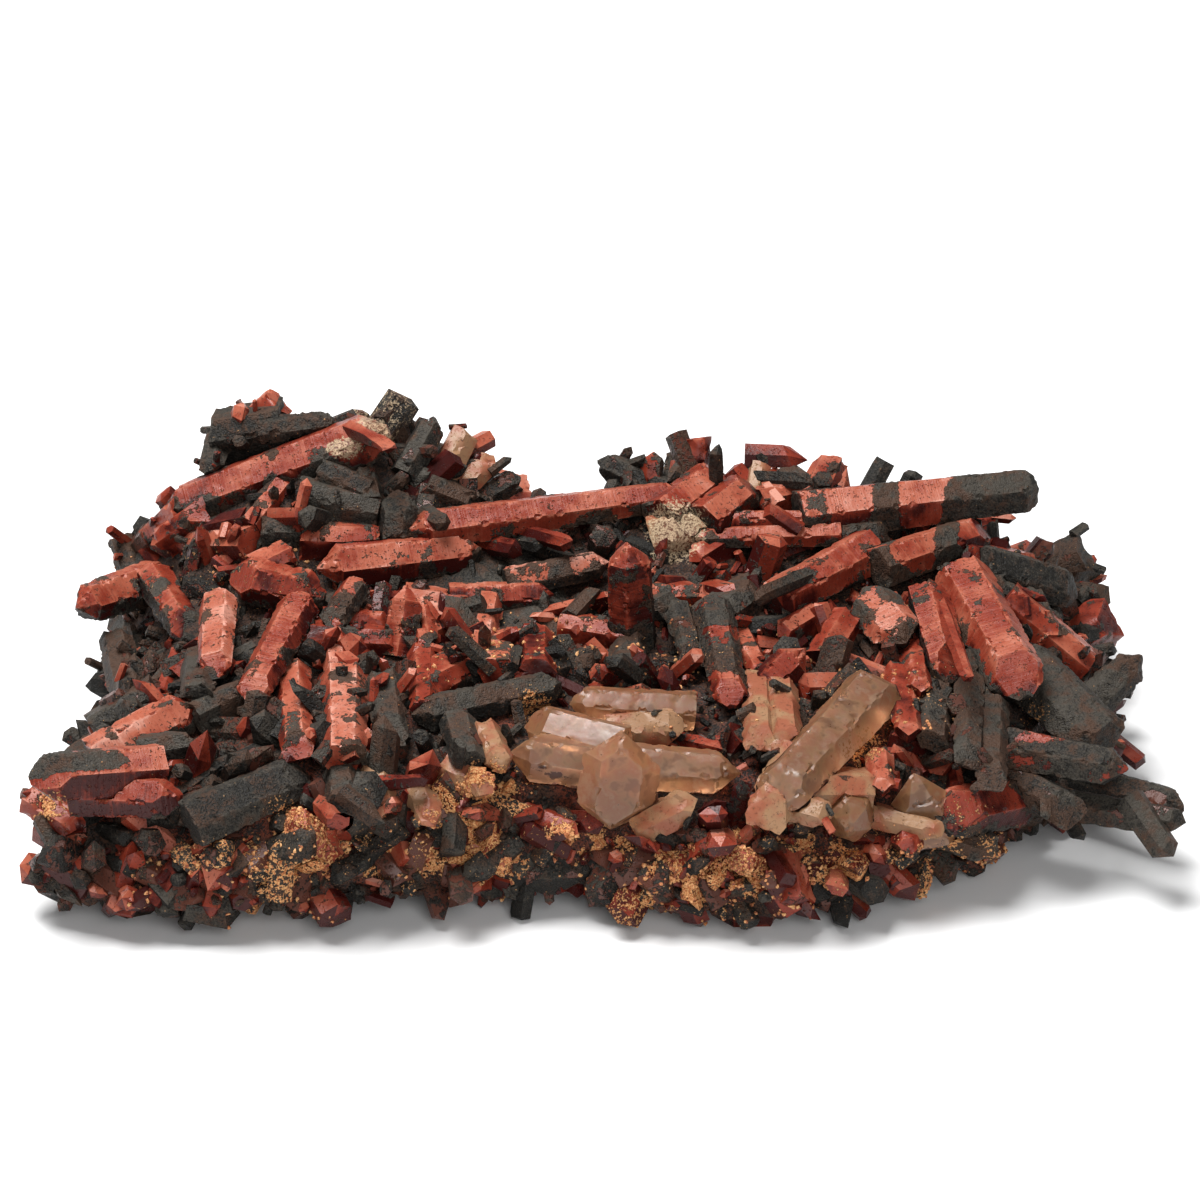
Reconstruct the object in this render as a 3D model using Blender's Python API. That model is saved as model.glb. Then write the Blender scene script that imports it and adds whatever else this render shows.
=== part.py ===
# Red quartz: a natural plate of jumbled, haematite-red quartz prisms with dark
# coated prisms between them and a smoky group at its front edge.
# Metres, +Z up. The origin is under the middle of the specimen's box.
import math
import random

import bmesh
import bpy
import numpy as np
from mathutils import Vector

MM = 0.001

# Driving sizes of the specimen, in millimetres
PLATE_HEIGHT = 35.0
CLEARANCE = 0.3
ROCK_RINGS = 5
ROCK_SIDES = 27
EDGE_SHARPNESS = 9
UNDERSIDE_RISE = 7.0
RIM_HEIGHT = 13.0
ROUGHNESS = 1.6

# Quartz: the angle between a crystal's axis and the normals of its end faces
END_FACE_ANGLE = math.radians(51.8)
PRISM_TAPER = math.radians(1.2)
UNEVENNESS = 0.07
FLAT_ANGLE = math.radians(0.5)

# The plate's outline from above: its corner points, in order, in millimetres
OUTLINE = [
    (-128, -78), (-90, -79), (-55, -73), (-20, -64), (10, -70), (34, -79), (60, -67), (84, -60),
    (102, -46), (118, -22), (131, 4), (134, 34), (125, 64), (92, 82), (50, 86), (20, 85), (-4, 72),
    (-26, 72), (-50, 84), (-80, 90), (-110, 86), (-127, 62), (-124, 28), (-123, -10), (-127, -40),
    (-136, -58),
]

# Swells of the plate's top: place, height and spread along X and Y
SWELLS = [
    (-84, 67, 34, 34, 26),
    (-48, 70, 9, 18, 20),
    (34, 61, 16, 44, 25),
    (100, 50, 6, 20, 25),
    (-90, 5, 4, 30, 30),
    (0, -10, 2, 60, 40),
]

# Knobs of rock under the plate, each with a flat underside that it stands on:
# middle and radius of the flat
FEET = [(-112, -60, 8), (34, -62, 9), (92, 34, 9), (-84, 60, 9), (-20, 38, 7)]
FOOT_HEIGHT = 15.0
FOOT_FLARE = 5.0
FOOT_SIDES = 7
FOOT_MARGIN = 2.5

# Crystals are placed in a picture plane. It faces a viewer who looks along +Y and
# down by VIEW_TILT, so that u runs to the right and v up, both in millimetres.
VIEW_TILT = math.radians(28)
VIEW_DISTANCE = 900.0
RAY_REACH = 130.0
RAY_STEP = 0.5
GROUND_MARGIN = 2.0
AIM = np.array([0.0, 0.0, 51.0])
AIM_V = 82.5

RIGHT = np.array([1.0, 0.0, 0.0])
UPWARD = np.array([0.0, math.sin(VIEW_TILT), math.cos(VIEW_TILT)])
TO_VIEWER = np.array([0.0, -math.cos(VIEW_TILT), math.sin(VIEW_TILT)])
VIEWER = AIM + VIEW_DISTANCE * TO_VIEWER
WORLD_UP = np.array([0.0, 0.0, 1.0])

# Surface kinds: colour and roughness
KINDS = {
    "red": ((0.36, 0.075, 0.045), 0.5),
    "patched": ((0.26, 0.06, 0.04), 0.55),
    "coated": ((0.05, 0.045, 0.04), 0.7),
    "smoky": ((0.42, 0.24, 0.15), 0.25),
    "rock": ((0.09, 0.05, 0.035), 0.85),
}


def crystal(name, root, tip, width, flat=0.85, roll=22, lift=None, rise=None,
            tip_end="point", root_end="rooted"):
    """One prism: where it starts and ends in the picture plane and how it lies.

    lift is how far the root's middle stands above the plate. rise is how much
    higher the tip is than the root; with no rise the crystal lies on the plate.
    """
    return {
        "name": name, "root": root, "tip": tip, "width": width, "flat": flat,
        "roll": math.radians(roll), "lift": 0.2 * width if lift is None else lift,
        "rise": rise, "tip_end": tip_end, "root_end": root_end,
    }


# Large crystals, each a piece of its own. Rows that share a name have grown
# through each other and make one solid. Earlier rows are whole, later ones
# stop against them.
LARGE = [
    crystal("red_back_left_long", (-53, 125), (-110, 104), 12, roll=22, lift=9, root_end="blunt"),
    crystal("red_middle_long", (-48, 99.5), (20, 109), 9.5, roll=25, lift=5, tip_end="blunt",
            root_end="blunt"),
    crystal("red_centre_left_long", (-72, 90), (-30, 95), 11, roll=20, lift=4, tip_end="blunt",
            root_end="point"),
    crystal("red_back_blocks", (19, 105), (33, 116), 12, roll=18, lift=5, tip_end="slant"),
    crystal("red_back_blocks", (29, 104), (40, 113), 10, roll=10, lift=6, tip_end="slant"),
    crystal("patched_back_right_long", (56, 104), (108, 110), 13, flat=0.9, roll=30, lift=5,
            tip_end="broken"),
    crystal("red_right_large", (92, 84), (107, 58), 14, flat=0.8, roll=8, lift=6, rise=-3,
            tip_end="slant"),
    crystal("smoky_long_pillar", (73, 64), (41, 30), 13, roll=28, lift=7, rise=-7,
            tip_end="slant", root_end="chisel"),
    crystal("smoky_front_crystal", (3, 26), (6, 51), 17, flat=0.55, roll=2, lift=5, rise=27,
            tip_end="point", root_end="blunt"),
    crystal("smoky_front_left_pair", (1, 47), (-21, 53), 10, roll=25, lift=5, rise=1,
            tip_end="slant"),
    crystal("smoky_front_left_pair", (-7, 42), (-24, 44), 11, roll=15, lift=4, rise=2,
            tip_end="point"),
    crystal("smoky_front_top", (19, 55), (-9, 57), 9, roll=25, lift=5, rise=2),
    crystal("smoky_front_right", (9, 41), (36, 39), 10, roll=20, lift=4, rise=-1),
    crystal("red_standing_centre", (8, 72), (7, 98), 11, flat=0.9, roll=24, lift=0, rise=30),
    crystal("patched_centre_right", (28, 82), (33, 56), 9, roll=5, lift=5, rise=-1,
            tip_end="slant", root_end="blunt"),
    crystal("patched_right_cross", (73, 92), (99, 101), 10, roll=25, lift=6, tip_end="slant"),
    crystal("red_right_pale_end", (64, 93), (43, 82), 11, roll=25, lift=5, rise=-2,
            tip_end="broken"),
    crystal("red_salmon_sheaf", (57, 99), (23, 98), 6, roll=25, lift=5, tip_end="point"),
    crystal("red_salmon_sheaf", (48, 102.5), (25, 103), 5, roll=30, lift=6, tip_end="blunt"),
    crystal("red_left_front", (-116, 40), (-145, 38), 12, flat=0.8, roll=32, lift=7, rise=4,
            tip_end="slant"),
    crystal("red_left_front_lower", (-126, 34), (-105, 33), 10, roll=25, lift=7, rise=2,
            tip_end="blunt"),
    crystal("coated_front_left_slab", (-97, 29), (-70, 41), 11, flat=0.7, roll=25, lift=5,
            rise=4, tip_end="slant"),
    crystal("coated_right_slab", (110, 62), (126, 47), 15, flat=0.6, roll=25, lift=6, rise=-4,
            tip_end="broken"),
    crystal("patched_right_tail", (101, 46), (133, 40), 10, roll=35, lift=6, rise=1,
            tip_end="point"),
    crystal("coated_right_tail", (116, 38), (147, 30), 9, roll=30, lift=5, rise=3,
            tip_end="point"),
    crystal("red_left_block", (-69, 83), (-95, 89.5), 11, roll=8, lift=5, rise=3,
            tip_end="slant", root_end="blunt"),
    crystal("red_left_leaning", (-74, 83), (-88, 57), 9, roll=12, lift=5, rise=-2,
            tip_end="slant", root_end="blunt"),
    crystal("red_left_upright", (-95, 84), (-96.5, 63), 8.5, roll=-8, lift=4, rise=-1,
            tip_end="slant", root_end="blunt"),
    crystal("red_left_tilted", (-113, 90), (-102, 73), 9, roll=5, lift=5, rise=-2,
            tip_end="slant", root_end="blunt"),
    crystal("red_left_point", (-114, 86.5), (-132, 80.5), 10, roll=10, lift=4, rise=5,
            tip_end="point"),
    crystal("red_pink_slab", (-121, 45), (-101, 56), 11, flat=0.7, roll=10, lift=4,
            tip_end="blunt"),
    crystal("patched_centre_pink", (-20, 87.5), (3, 92), 7, roll=18, lift=5, tip_end="point"),
    crystal("red_centre_flat", (-34, 83), (-11, 84), 7, roll=18, lift=4),
    crystal("patched_centre_hooked", (-60, 87), (-68, 75.5), 7, roll=15, lift=5, rise=-1,
            tip_end="slant", root_end="blunt"),
    crystal("coated_front_long", (-47, 53.5), (-10, 61.5), 8, flat=0.8, roll=25, lift=4,
            tip_end="blunt", root_end="blunt"),
    crystal("smoky_hexagon_ball", (63, 30), (62, 24), 10, flat=1.0, roll=0, lift=4, rise=1),
    crystal("red_front_right_block", (101, 32), (84, 28), 12, roll=15, lift=7, rise=7,
            tip_end="slant"),
    crystal("smoky_pyramid_right", (81, 30), (78.5, 41), 14, flat=0.9, roll=-5, lift=3, rise=12),
    crystal("red_orange_tip", (43, 62), (52, 71), 9, roll=15, lift=4, rise=7, tip_end="point"),
    crystal("coated_right_shoulder", (100, 90), (122, 84), 10, flat=0.8, roll=25, lift=4,
            tip_end="slant"),
    crystal("coated_right_spur", (122, 56), (136, 69), 9, flat=0.8, roll=10, lift=3, rise=10,
            tip_end="point"),
    crystal("red_peak_tip", (-50, 73), (-48, 87), 9, roll=28, lift=3, rise=12, tip_end="point"),
    crystal("patched_right_wedge", (66, 84), (77, 71), 12, flat=0.6, roll=12, lift=5, rise=-1,
            tip_end="point", root_end="blunt"),
    crystal("red_right_steep", (83, 80), (88, 62), 11, flat=0.8, roll=38, lift=6, rise=-2,
            tip_end="slant"),
    crystal("coated_standing_left", (-51, 96), (-50, 112), 9, roll=10, lift=2, rise=14,
            tip_end="slant"),
    crystal("coated_skyline_speckled", (-82, 125), (-66, 127), 6, roll=10, lift=3,
            tip_end="blunt"),
]

# Smaller crystals, grown together with the plate and part of its solid
RED_GROWN = [
    crystal("", (-108, 99), (-98, 106), 6, lift=4, tip_end="slant"),
    crystal("", (-90, 97), (-112, 97), 7, roll=15, lift=3),
    crystal("", (-83, 91), (-77, 94), 6, roll=0, lift=4, tip_end="blunt"),
    crystal("", (-86, 103), (-78, 113), 7, roll=10, lift=3, rise=5),
    crystal("", (-81, 100), (-67, 99.5), 7, lift=3, tip_end="blunt"),
    crystal("", (-46, 82), (-31, 80), 7, lift=4),
    crystal("", (-45, 80), (-43, 70), 6, roll=0, lift=4, rise=-1),
    crystal("", (-47, 72), (-34, 79), 6, lift=3, tip_end="slant"),
    crystal("", (-28, 81), (-31, 66), 7, roll=0, lift=4, rise=-1, tip_end="point"),
    crystal("", (-72, 73), (-49, 72), 7, lift=3),
    crystal("", (-66, 71), (-65, 62), 7, roll=0, lift=4, rise=-1, tip_end="slant"),
    crystal("", (12, 84), (28, 84), 6, lift=4),
    crystal("", (-7, 76), (12, 73), 6, lift=4),
    crystal("", (13, 112), (13.5, 120), 6, roll=5, lift=1, rise=8),
    crystal("", (24, 113), (24, 123), 8, roll=0, lift=1, rise=10, tip_end="blunt"),
    crystal("", (53, 108), (58, 117), 8, roll=10, lift=2, rise=6, tip_end="broken"),
    crystal("", (42, 108), (50, 110), 6, lift=4, tip_end="blunt"),
    crystal("", (94, 93), (110, 91.5), 6, lift=3),
    crystal("", (89, 87), (103, 86), 6, lift=4),
    crystal("", (100, 85), (110, 81), 6, lift=3),
    crystal("", (78, 72), (80, 59), 7, roll=0, lift=1, rise=4),
    crystal("", (75, 63), (77, 48), 7, roll=0, lift=2, rise=3),
    crystal("", (57, 70), (62, 78), 8, roll=0, lift=2, rise=4, tip_end="blunt"),
    crystal("", (-100, 66), (-101, 58), 9, roll=0, lift=1, rise=5, tip_end="blunt"),
    crystal("", (-109, 34), (-109, 28), 7, roll=0, lift=2, rise=-1),
    crystal("", (-77, 62), (-75.5, 43), 8, roll=0, lift=2, rise=1, tip_end="slant"),
    crystal("", (-44, 69), (-44, 55), 7, roll=5, lift=2, rise=2, tip_end="blunt"),
    crystal("", (-41, 61), (-30, 67), 8, roll=0, lift=3, tip_end="blunt"),
    crystal("", (-25, 70), (-25.5, 64), 10, roll=0, lift=1, rise=4, tip_end="blunt"),
    crystal("", (-16, 71), (-16, 64), 10, roll=0, lift=1, rise=4, tip_end="blunt"),
    crystal("", (70, 42), (71, 34), 6, roll=0, lift=2, rise=-1),
    crystal("", (77, 26), (77, 18), 7, roll=0, lift=2, rise=-2),
    crystal("", (-16, 28), (-5, 23.5), 6, lift=3, rise=-1),
    crystal("", (-122, 18), (-106, 12), 9, lift=5, rise=-4, tip_end="slant"),
    crystal("", (-124, 8), (-121, 0), 6, lift=4, rise=-5),
    crystal("", (-139, 31), (-128, 24), 8, lift=4, rise=-3),
    crystal("", (-66, 77), (-52, 77), 6, lift=3),
    crystal("", (52, 78), (44, 73), 6, lift=4),
    crystal("", (36, 72), (41, 63), 6, lift=1, rise=3),
    crystal("", (30, 97), (22, 92), 6, lift=3),
]

DARK_GROWN = [
    crystal("", (-106, 104), (-114, 97), 7, lift=4),
    crystal("", (-117, 89), (-120, 98), 7, roll=0, lift=4, rise=6, tip_end="blunt"),
    crystal("", (-84, 126), (-97, 124), 10, roll=10, lift=3, tip_end="blunt"),
    crystal("", (-86, 127), (-80, 132), 9, lift=2, rise=6, tip_end="blunt"),
    crystal("", (-96, 121), (-98, 113), 7, lift=4, rise=-3),
    crystal("", (-72, 108.5), (-55, 104.5), 7, lift=4, tip_end="blunt"),
    crystal("", (-71, 98), (-55, 97.5), 8, lift=3, tip_end="blunt"),
    crystal("", (-61, 111), (-70, 115), 7, lift=3, tip_end="blunt"),
    crystal("", (-58, 109), (-60, 118), 7, lift=2, rise=5),
    crystal("", (-47, 117), (-42, 126), 8, lift=2, rise=7, tip_end="blunt"),
    crystal("", (-38, 116), (-34, 124), 8, lift=2, rise=6, tip_end="blunt"),
    crystal("", (-32, 113), (-26, 119), 7, lift=2, rise=5),
    crystal("", (-26, 110), (-19, 114), 7, lift=2, rise=4),
    crystal("", (-40, 110), (-30, 106), 7, lift=3),
    crystal("", (13, 111), (-1, 117.5), 8, roll=10, lift=3, rise=4),
    crystal("", (18, 111), (19, 120.5), 6, lift=2, rise=8),
    crystal("", (36, 112), (41, 117), 7, lift=2, rise=5, tip_end="blunt"),
    crystal("", (49, 112), (67, 99), 8, roll=30, lift=4, tip_end="blunt"),
    crystal("", (31, 79), (42, 87), 8, roll=10, lift=4, tip_end="slant"),
    crystal("", (61, 98), (74, 99), 8, roll=10, lift=3, tip_end="chisel"),
    crystal("", (105, 80), (122, 66), 9, lift=5, tip_end="blunt"),
    crystal("", (93, 66), (92, 41), 8, roll=-10, lift=3, rise=0, tip_end="slant"),
    crystal("", (98, 61), (98, 35), 8, roll=10, lift=3, rise=-1, tip_end="slant"),
    crystal("", (84, 62), (83, 47), 8, roll=0, lift=2, rise=1, tip_end="blunt"),
    crystal("", (107, 33), (147, 26.5), 8, roll=30, lift=4, rise=2),
    crystal("", (103, 38), (121, 27), 9, lift=5, rise=-3, tip_end="slant"),
    crystal("", (88, 24), (101, 19), 8, lift=3, rise=-3),
    crystal("", (-110, 33), (-91, 40), 6, lift=4),
    crystal("", (-101, 43), (-81, 50), 6, lift=4),
    crystal("", (-99, 55), (-87, 61), 6, lift=4),
    crystal("", (-118, 60), (-121, 73), 9, roll=10, lift=4, rise=3, tip_end="blunt"),
    crystal("", (-112, 70), (-108, 78), 8, lift=3, rise=3),
    crystal("", (-123, 52), (-111, 60), 8, lift=4, tip_end="blunt"),
    crystal("", (-128, 18), (-139, 6), 9, roll=10, lift=4, rise=-9),
    crystal("", (-64, 60), (-64, 43), 11, roll=5, lift=4, rise=0, tip_end="blunt"),
    crystal("", (-54, 60), (-52, 46), 8, roll=10, lift=4, rise=0, tip_end="slant"),
    crystal("", (-64.5, 38), (-64.5, 31), 8, roll=0, lift=2, rise=0, tip_end="blunt"),
    crystal("", (-35, 50), (-33, 42), 8, roll=10, lift=4, rise=0, tip_end="blunt"),
    crystal("", (7, 70), (7, 63), 9, roll=0, lift=1, rise=4, tip_end="blunt"),
    crystal("", (-10, 66), (1, 69), 6, lift=3),
    crystal("", (20, 78), (24, 66), 7, lift=4, rise=0, tip_end="slant"),
    crystal("", (-88, 36), (-84, 47), 7, lift=3, rise=5),
    crystal("", (-112, 45), (-100, 47), 6, lift=3),
    crystal("", (62, 62), (58, 56), 7, lift=4),
    crystal("", (112, 74), (108, 84), 7, lift=3, rise=4, tip_end="blunt"),
]

PALE_GROWN = [
    crystal("", (27, 102), (13, 98), 10, roll=10, lift=4, tip_end="broken"),
    crystal("", (39, 110), (40, 116), 6, lift=2, rise=4, tip_end="blunt"),
    crystal("", (7, 50), (23, 51), 9, lift=3, rise=3),
    crystal("", (13, 27), (25, 33), 8, lift=4, rise=7),
    crystal("", (47, 40), (40, 25), 10, roll=15, lift=5, rise=-5, tip_end="slant"),
    crystal("", (39, 60), (40, 45), 8, roll=0, lift=4, rise=0, tip_end="slant"),
    crystal("", (45, 58), (47, 44), 8, roll=5, lift=4, rise=0, tip_end="slant"),
    crystal("", (31, 33), (28, 18), 7, roll=10, lift=3, rise=-9, tip_end="slant"),
    crystal("", (52, 35), (68, 35), 9, lift=5, tip_end="blunt"),
    crystal("", (45, 32), (59, 28), 7, lift=5, rise=-1),
    crystal("", (71, 28), (87, 24), 6, lift=3, rise=-1),
    crystal("", (-56, 36), (-55, 27), 8, roll=0, lift=2, rise=-3),
    crystal("", (-45, 34), (-41, 25), 7, roll=0, lift=2, rise=-3),
    crystal("", (-35, 39), (-26, 34), 8, lift=3, rise=-1),
    crystal("", (-28, 48), (-24, 40), 7, lift=4, rise=0),
]

# Crystals that the seeded filling adds: counts, the angles that the back takes
# round the plate, and ranges of height up the wall, length and width
FILL_BACK = 27
FILL_SIDES = 4
FILL_FIRST = 14
FILL_LAST = 170
FILL_BACK_HEIGHT = (0.3, 0.86)
FILL_SIDE_HEIGHT = (0.3, 0.6)
FILL_LENGTH = (12.0, 27.0)
FILL_WIDTH = (6.0, 11.0)
FILL_SEED = 11

# How deep each end face cuts, in crystal radii, from the face on top round to
# its sixth neighbour
END_CUTS = {
    "point": (0.0, 0.1, 0.25, 0.0, 0.15, 0.05),
    "chisel": (0.45, 0.0, 0.0, 0.45, 0.0, 0.0),
    "slant": (0.9, 0.2, 0.0, 0.0, 0.0, 0.3),
    "blunt": (-0.35, -0.2, -0.5, -0.3, -0.45, -0.25),
    "broken": (-0.8, -0.7, -0.8, -0.6, -0.8, -0.7),
}

SMALL_END_FACES = {"point": (0, 2, 4), "chisel": (0, 3), "slant": (0, 3), "blunt": (), "broken": ()}


def outline_radius(angle):
    """Distance from the middle to the plate's outline, in a given direction."""
    angles = np.array([math.atan2(y, x) for x, y in OUTLINE])
    radii = np.array([math.hypot(x, y) for x, y in OUTLINE])
    order = np.argsort(angles)
    return np.interp(angle, angles[order], radii[order], period=2 * math.pi)


def bed_height(x, y):
    """Height of the plate's top, falling steeply to the ground at its outline."""
    share = math.hypot(x, y) / outline_radius(math.atan2(y, x))
    height = PLATE_HEIGHT
    for middle_x, middle_y, swell, spread_x, spread_y in SWELLS:
        away = ((x - middle_x) / spread_x) ** 2 + ((y - middle_y) / spread_y) ** 2
        height += swell * math.exp(-0.5 * away)
    if share >= 1:
        return -400 * (share - 1)
    return height * math.sqrt(1 - share ** EDGE_SHARPNESS)


def view_ray(u, v):
    """The viewer's ray through a place in the picture plane."""
    place = AIM + u * RIGHT + (v - AIM_V) * UPWARD
    direction = place - VIEWER
    return direction / np.linalg.norm(direction)


def on_plate(u, v, lift):
    """Where the ray first comes within lift of the plate, or passes it closest."""
    direction = view_ray(u, v)
    nearest = math.inf
    for distance in np.arange(VIEW_DISTANCE - RAY_REACH, VIEW_DISTANCE + RAY_REACH, RAY_STEP):
        place = VIEWER + distance * direction
        if place[2] < GROUND_MARGIN:
            break
        gap = place[2] - bed_height(place[0], place[1]) - lift
        if gap < nearest:
            nearest = gap
            closest = place
        if gap <= 0:
            break
    return closest


def at_height(u, v, height):
    """Where the ray crosses a level plane."""
    direction = view_ray(u, v)
    return VIEWER + direction * (height - VIEWER[2]) / direction[2]


def unit(vector):
    return vector / np.linalg.norm(vector)


def prism_planes(root, tip, row, chance, small=False):
    """The flat faces of one crystal, as pairs of outward normal and a point.

    A small crystal has fewer end faces, and where it lies on the plate the two
    faces that turn down into it are left out.
    """
    axis = unit(tip - root)
    facing = unit(TO_VIEWER - axis * np.dot(TO_VIEWER, axis))
    across = np.cross(axis, facing)
    upright = abs(np.dot(axis, WORLD_UP)) > 0.85
    if np.dot(across, RIGHT if upright else WORLD_UP) < 0:
        across = -across
    main = facing * math.cos(row["roll"]) + across * math.sin(row["roll"])
    side = -facing * math.sin(row["roll"]) + across * math.cos(row["roll"])
    radius = row["width"] * 0.475
    middle = (root + tip) / 2
    planes = []
    outward = []
    for face in range(6):
        turn = math.radians(60 * face)
        normal = main * math.cos(turn) / row["flat"] + side * math.sin(turn)
        reach = radius / np.linalg.norm(normal) * (1 + UNEVENNESS * chance.uniform(-1, 1))
        normal = unit(normal)
        outward.append(normal)
        if small and row["rise"] is None and face in (2, 4):
            continue
        leaning = normal * math.cos(PRISM_TAPER) + axis * math.sin(PRISM_TAPER)
        planes.append((leaning, middle + normal * reach))
    planes += end_planes(tip, axis, outward, radius, row["tip_end"], chance, small)
    if row["root_end"] == "rooted":
        planes.append((-axis, root - axis * radius * 1.1))
    else:
        planes += end_planes(root, -axis, outward, radius, row["root_end"], chance, small)
    return planes


def end_planes(end, axis, outward, radius, style, chance, small=False):
    """The end faces of a crystal, and its break where it has one."""
    planes = []
    shown = SMALL_END_FACES[style] if small else range(6)
    for normal, cut in [(outward[face], END_CUTS[style][face]) for face in shown]:
        tilted = axis * math.cos(END_FACE_ANGLE) + normal * math.sin(END_FACE_ANGLE)
        depth = radius * (cut + 0.06 * chance.uniform(-1, 1))
        planes.append((tilted, end - axis * depth))
    if style in ("blunt", "broken"):
        tilt = 0.32 if style == "broken" else 0.14
        sideways = outward[chance.randrange(6)]
        planes.append((unit(axis + sideways * tilt), end))
    return planes


def corner_points(planes):
    """Corners of the convex solid inside all the planes."""
    normals = np.array([normal for normal, _ in planes])
    offsets = np.array([np.dot(normal, point) for normal, point in planes])
    corners = []
    count = len(planes)
    for a in range(count):
        for b in range(a + 1, count):
            for c in range(b + 1, count):
                trio = normals[[a, b, c]]
                if abs(np.linalg.det(trio)) < 1e-4:
                    continue
                corner = np.linalg.solve(trio, offsets[[a, b, c]])
                if np.all(normals @ corner <= offsets + 1e-6):
                    corners.append(corner)
    return corners


def above_ground(corners):
    """The same corners, lifted as one where they would touch the ground."""
    lowest = min(corner[2] for corner in corners)
    rise = max(0.0, GROUND_MARGIN - lowest)
    return [corner + rise * WORLD_UP for corner in corners]


def convex_mesh(name, corners):
    """A closed convex mesh in metres around corners given in millimetres."""
    form = bmesh.new()
    for corner in corners:
        form.verts.new(Vector(corner) * MM)
    bmesh.ops.remove_doubles(form, verts=form.verts, dist=0.15 * MM)
    hull = bmesh.ops.convex_hull(form, input=form.verts)
    loose = [item for item in hull["geom_interior"] if isinstance(item, bmesh.types.BMVert)]
    bmesh.ops.delete(form, geom=loose, context="VERTS")
    bmesh.ops.dissolve_limit(form, angle_limit=FLAT_ANGLE, verts=form.verts, edges=form.edges)
    bmesh.ops.recalc_face_normals(form, faces=form.faces)
    mesh = bpy.data.meshes.new(name)
    form.to_mesh(mesh)
    form.free()
    return mesh


def ends_of(row):
    """Root and tip of a crystal in millimetres."""
    root = on_plate(*row["root"], row["lift"])
    if row["rise"] is None:
        tip = on_plate(*row["tip"], row["lift"])
    else:
        tip = at_height(*row["tip"], root[2] + row["rise"])
    return root, tip


def grown(planes, amount):
    """The same faces, each moved outwards."""
    return [(normal, point + normal * amount) for normal, point in planes]


def put(name, mesh, collection):
    item = bpy.data.objects.new(name, mesh)
    collection.objects.link(item)
    return item


def boolean(target, operation, tools):
    """Join to or cut from an object every object of a collection."""
    modifier = target.modifiers.new(operation.title(), "BOOLEAN")
    modifier.operation = operation
    modifier.operand_type = "COLLECTION"
    modifier.collection = tools
    modifier.solver = "EXACT"
    bpy.context.view_layer.update()
    graph = bpy.context.evaluated_depsgraph_get()
    mesh = bpy.data.meshes.new_from_object(target.evaluated_get(graph))
    target.modifiers.remove(modifier)
    target.data = mesh


def collection_of(name):
    group = bpy.data.collections.new(name)
    bpy.context.scene.collection.children.link(group)
    return group


def clear(group):
    for item in list(group.objects):
        bpy.data.objects.remove(item)
    bpy.data.collections.remove(group)


def keep_largest(item):
    """Leave only the largest closed body of a mesh."""
    form = bmesh.new()
    form.from_mesh(item.data)
    bmesh.ops.remove_doubles(form, verts=form.verts, dist=0.004 * MM)
    bmesh.ops.dissolve_degenerate(form, edges=form.edges, dist=0.004 * MM)
    unseen = set(form.faces)
    bodies = []
    while unseen:
        stack = [unseen.pop()]
        body = list(stack)
        while stack:
            face = stack.pop()
            for edge in face.edges:
                if len(edge.link_faces) != 2:
                    continue
                for other in edge.link_faces:
                    if other in unseen:
                        unseen.discard(other)
                        stack.append(other)
                        body.append(other)
        bodies.append(body)
    bodies.sort(key=lambda body: sum(face.calc_area() for face in body))
    for body in bodies[:-1]:
        bmesh.ops.delete(form, geom=body, context="FACES")
    bmesh.ops.dissolve_limit(form, angle_limit=FLAT_ANGLE, verts=form.verts, edges=form.edges)
    bmesh.ops.triangulate(form, faces=form.faces)
    form.to_mesh(item.data)
    form.free()


def rough(x, y, z, size):
    """A smooth repeatable unevenness between -1 and 1."""
    first = math.sin(x / size + 1.7 * math.sin(y / size * 0.8) + 0.6 * z / size)
    second = math.sin(1.9 * y / size - 1.3 * math.sin(x / size * 1.1 + 2.0) + z / size)
    return 0.5 * (first + second)


def foot_share(x, y):
    """1 on a foot, 0 away from all the feet."""
    share = 0.0
    for middle_x, middle_y, radius in FEET:
        away = math.hypot(x - middle_x, y - middle_y)
        share = max(share, min(1.0, max(0.0, (radius * 1.6 - away) / (radius * 0.6))))
    return share


def rock_mesh():
    """The plate itself: a domed top, steep rough walls and an uneven underside on feet."""
    form = bmesh.new()
    rings = []
    shares = [math.sin(math.pi / 2 * ring / ROCK_RINGS) ** 0.8 for ring in range(1, ROCK_RINGS)]
    shares.append(0.995)
    for share in shares:
        rings.append([top_point(form, share, side) for side in range(ROCK_SIDES)])
    low_shares = [1.0, 0.9, 0.66, 0.33]
    for share in low_shares:
        rings.append([low_point(form, share, side) for side in range(ROCK_SIDES)])
    crown = form.verts.new(Vector((0, 0, bed_height(0.01, 0))) * MM)
    base = form.verts.new(Vector((0, 0, UNDERSIDE_RISE)) * MM)
    for side in range(ROCK_SIDES):
        after = (side + 1) % ROCK_SIDES
        form.faces.new((crown, rings[0][side], rings[0][after]))
        form.faces.new((base, rings[-1][after], rings[-1][side]))
        for upper, lower in zip(rings, rings[1:]):
            form.faces.new((upper[side], lower[side], lower[after], upper[after]))
    bmesh.ops.recalc_face_normals(form, faces=form.faces)
    bmesh.ops.triangulate(form, faces=form.faces)
    mesh = bpy.data.meshes.new("rock")
    form.to_mesh(mesh)
    form.free()
    return mesh


def ring_place(share, side):
    angle = 2 * math.pi * side / ROCK_SIDES - math.pi
    reach = share * outline_radius(angle)
    return reach * math.cos(angle), reach * math.sin(angle)


def top_point(form, share, side):
    x, y = ring_place(share, side)
    z = max(bed_height(x, y), RIM_HEIGHT)
    wobble = ROUGHNESS * (1 if share < 0.9 else 2.2)
    x += wobble * rough(y, z, x, 7.0)
    y += wobble * rough(z, x, y, 6.0)
    z += ROUGHNESS * rough(x, y, 0, 9.0)
    return form.verts.new(Vector((x, y, z)) * MM)


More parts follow.
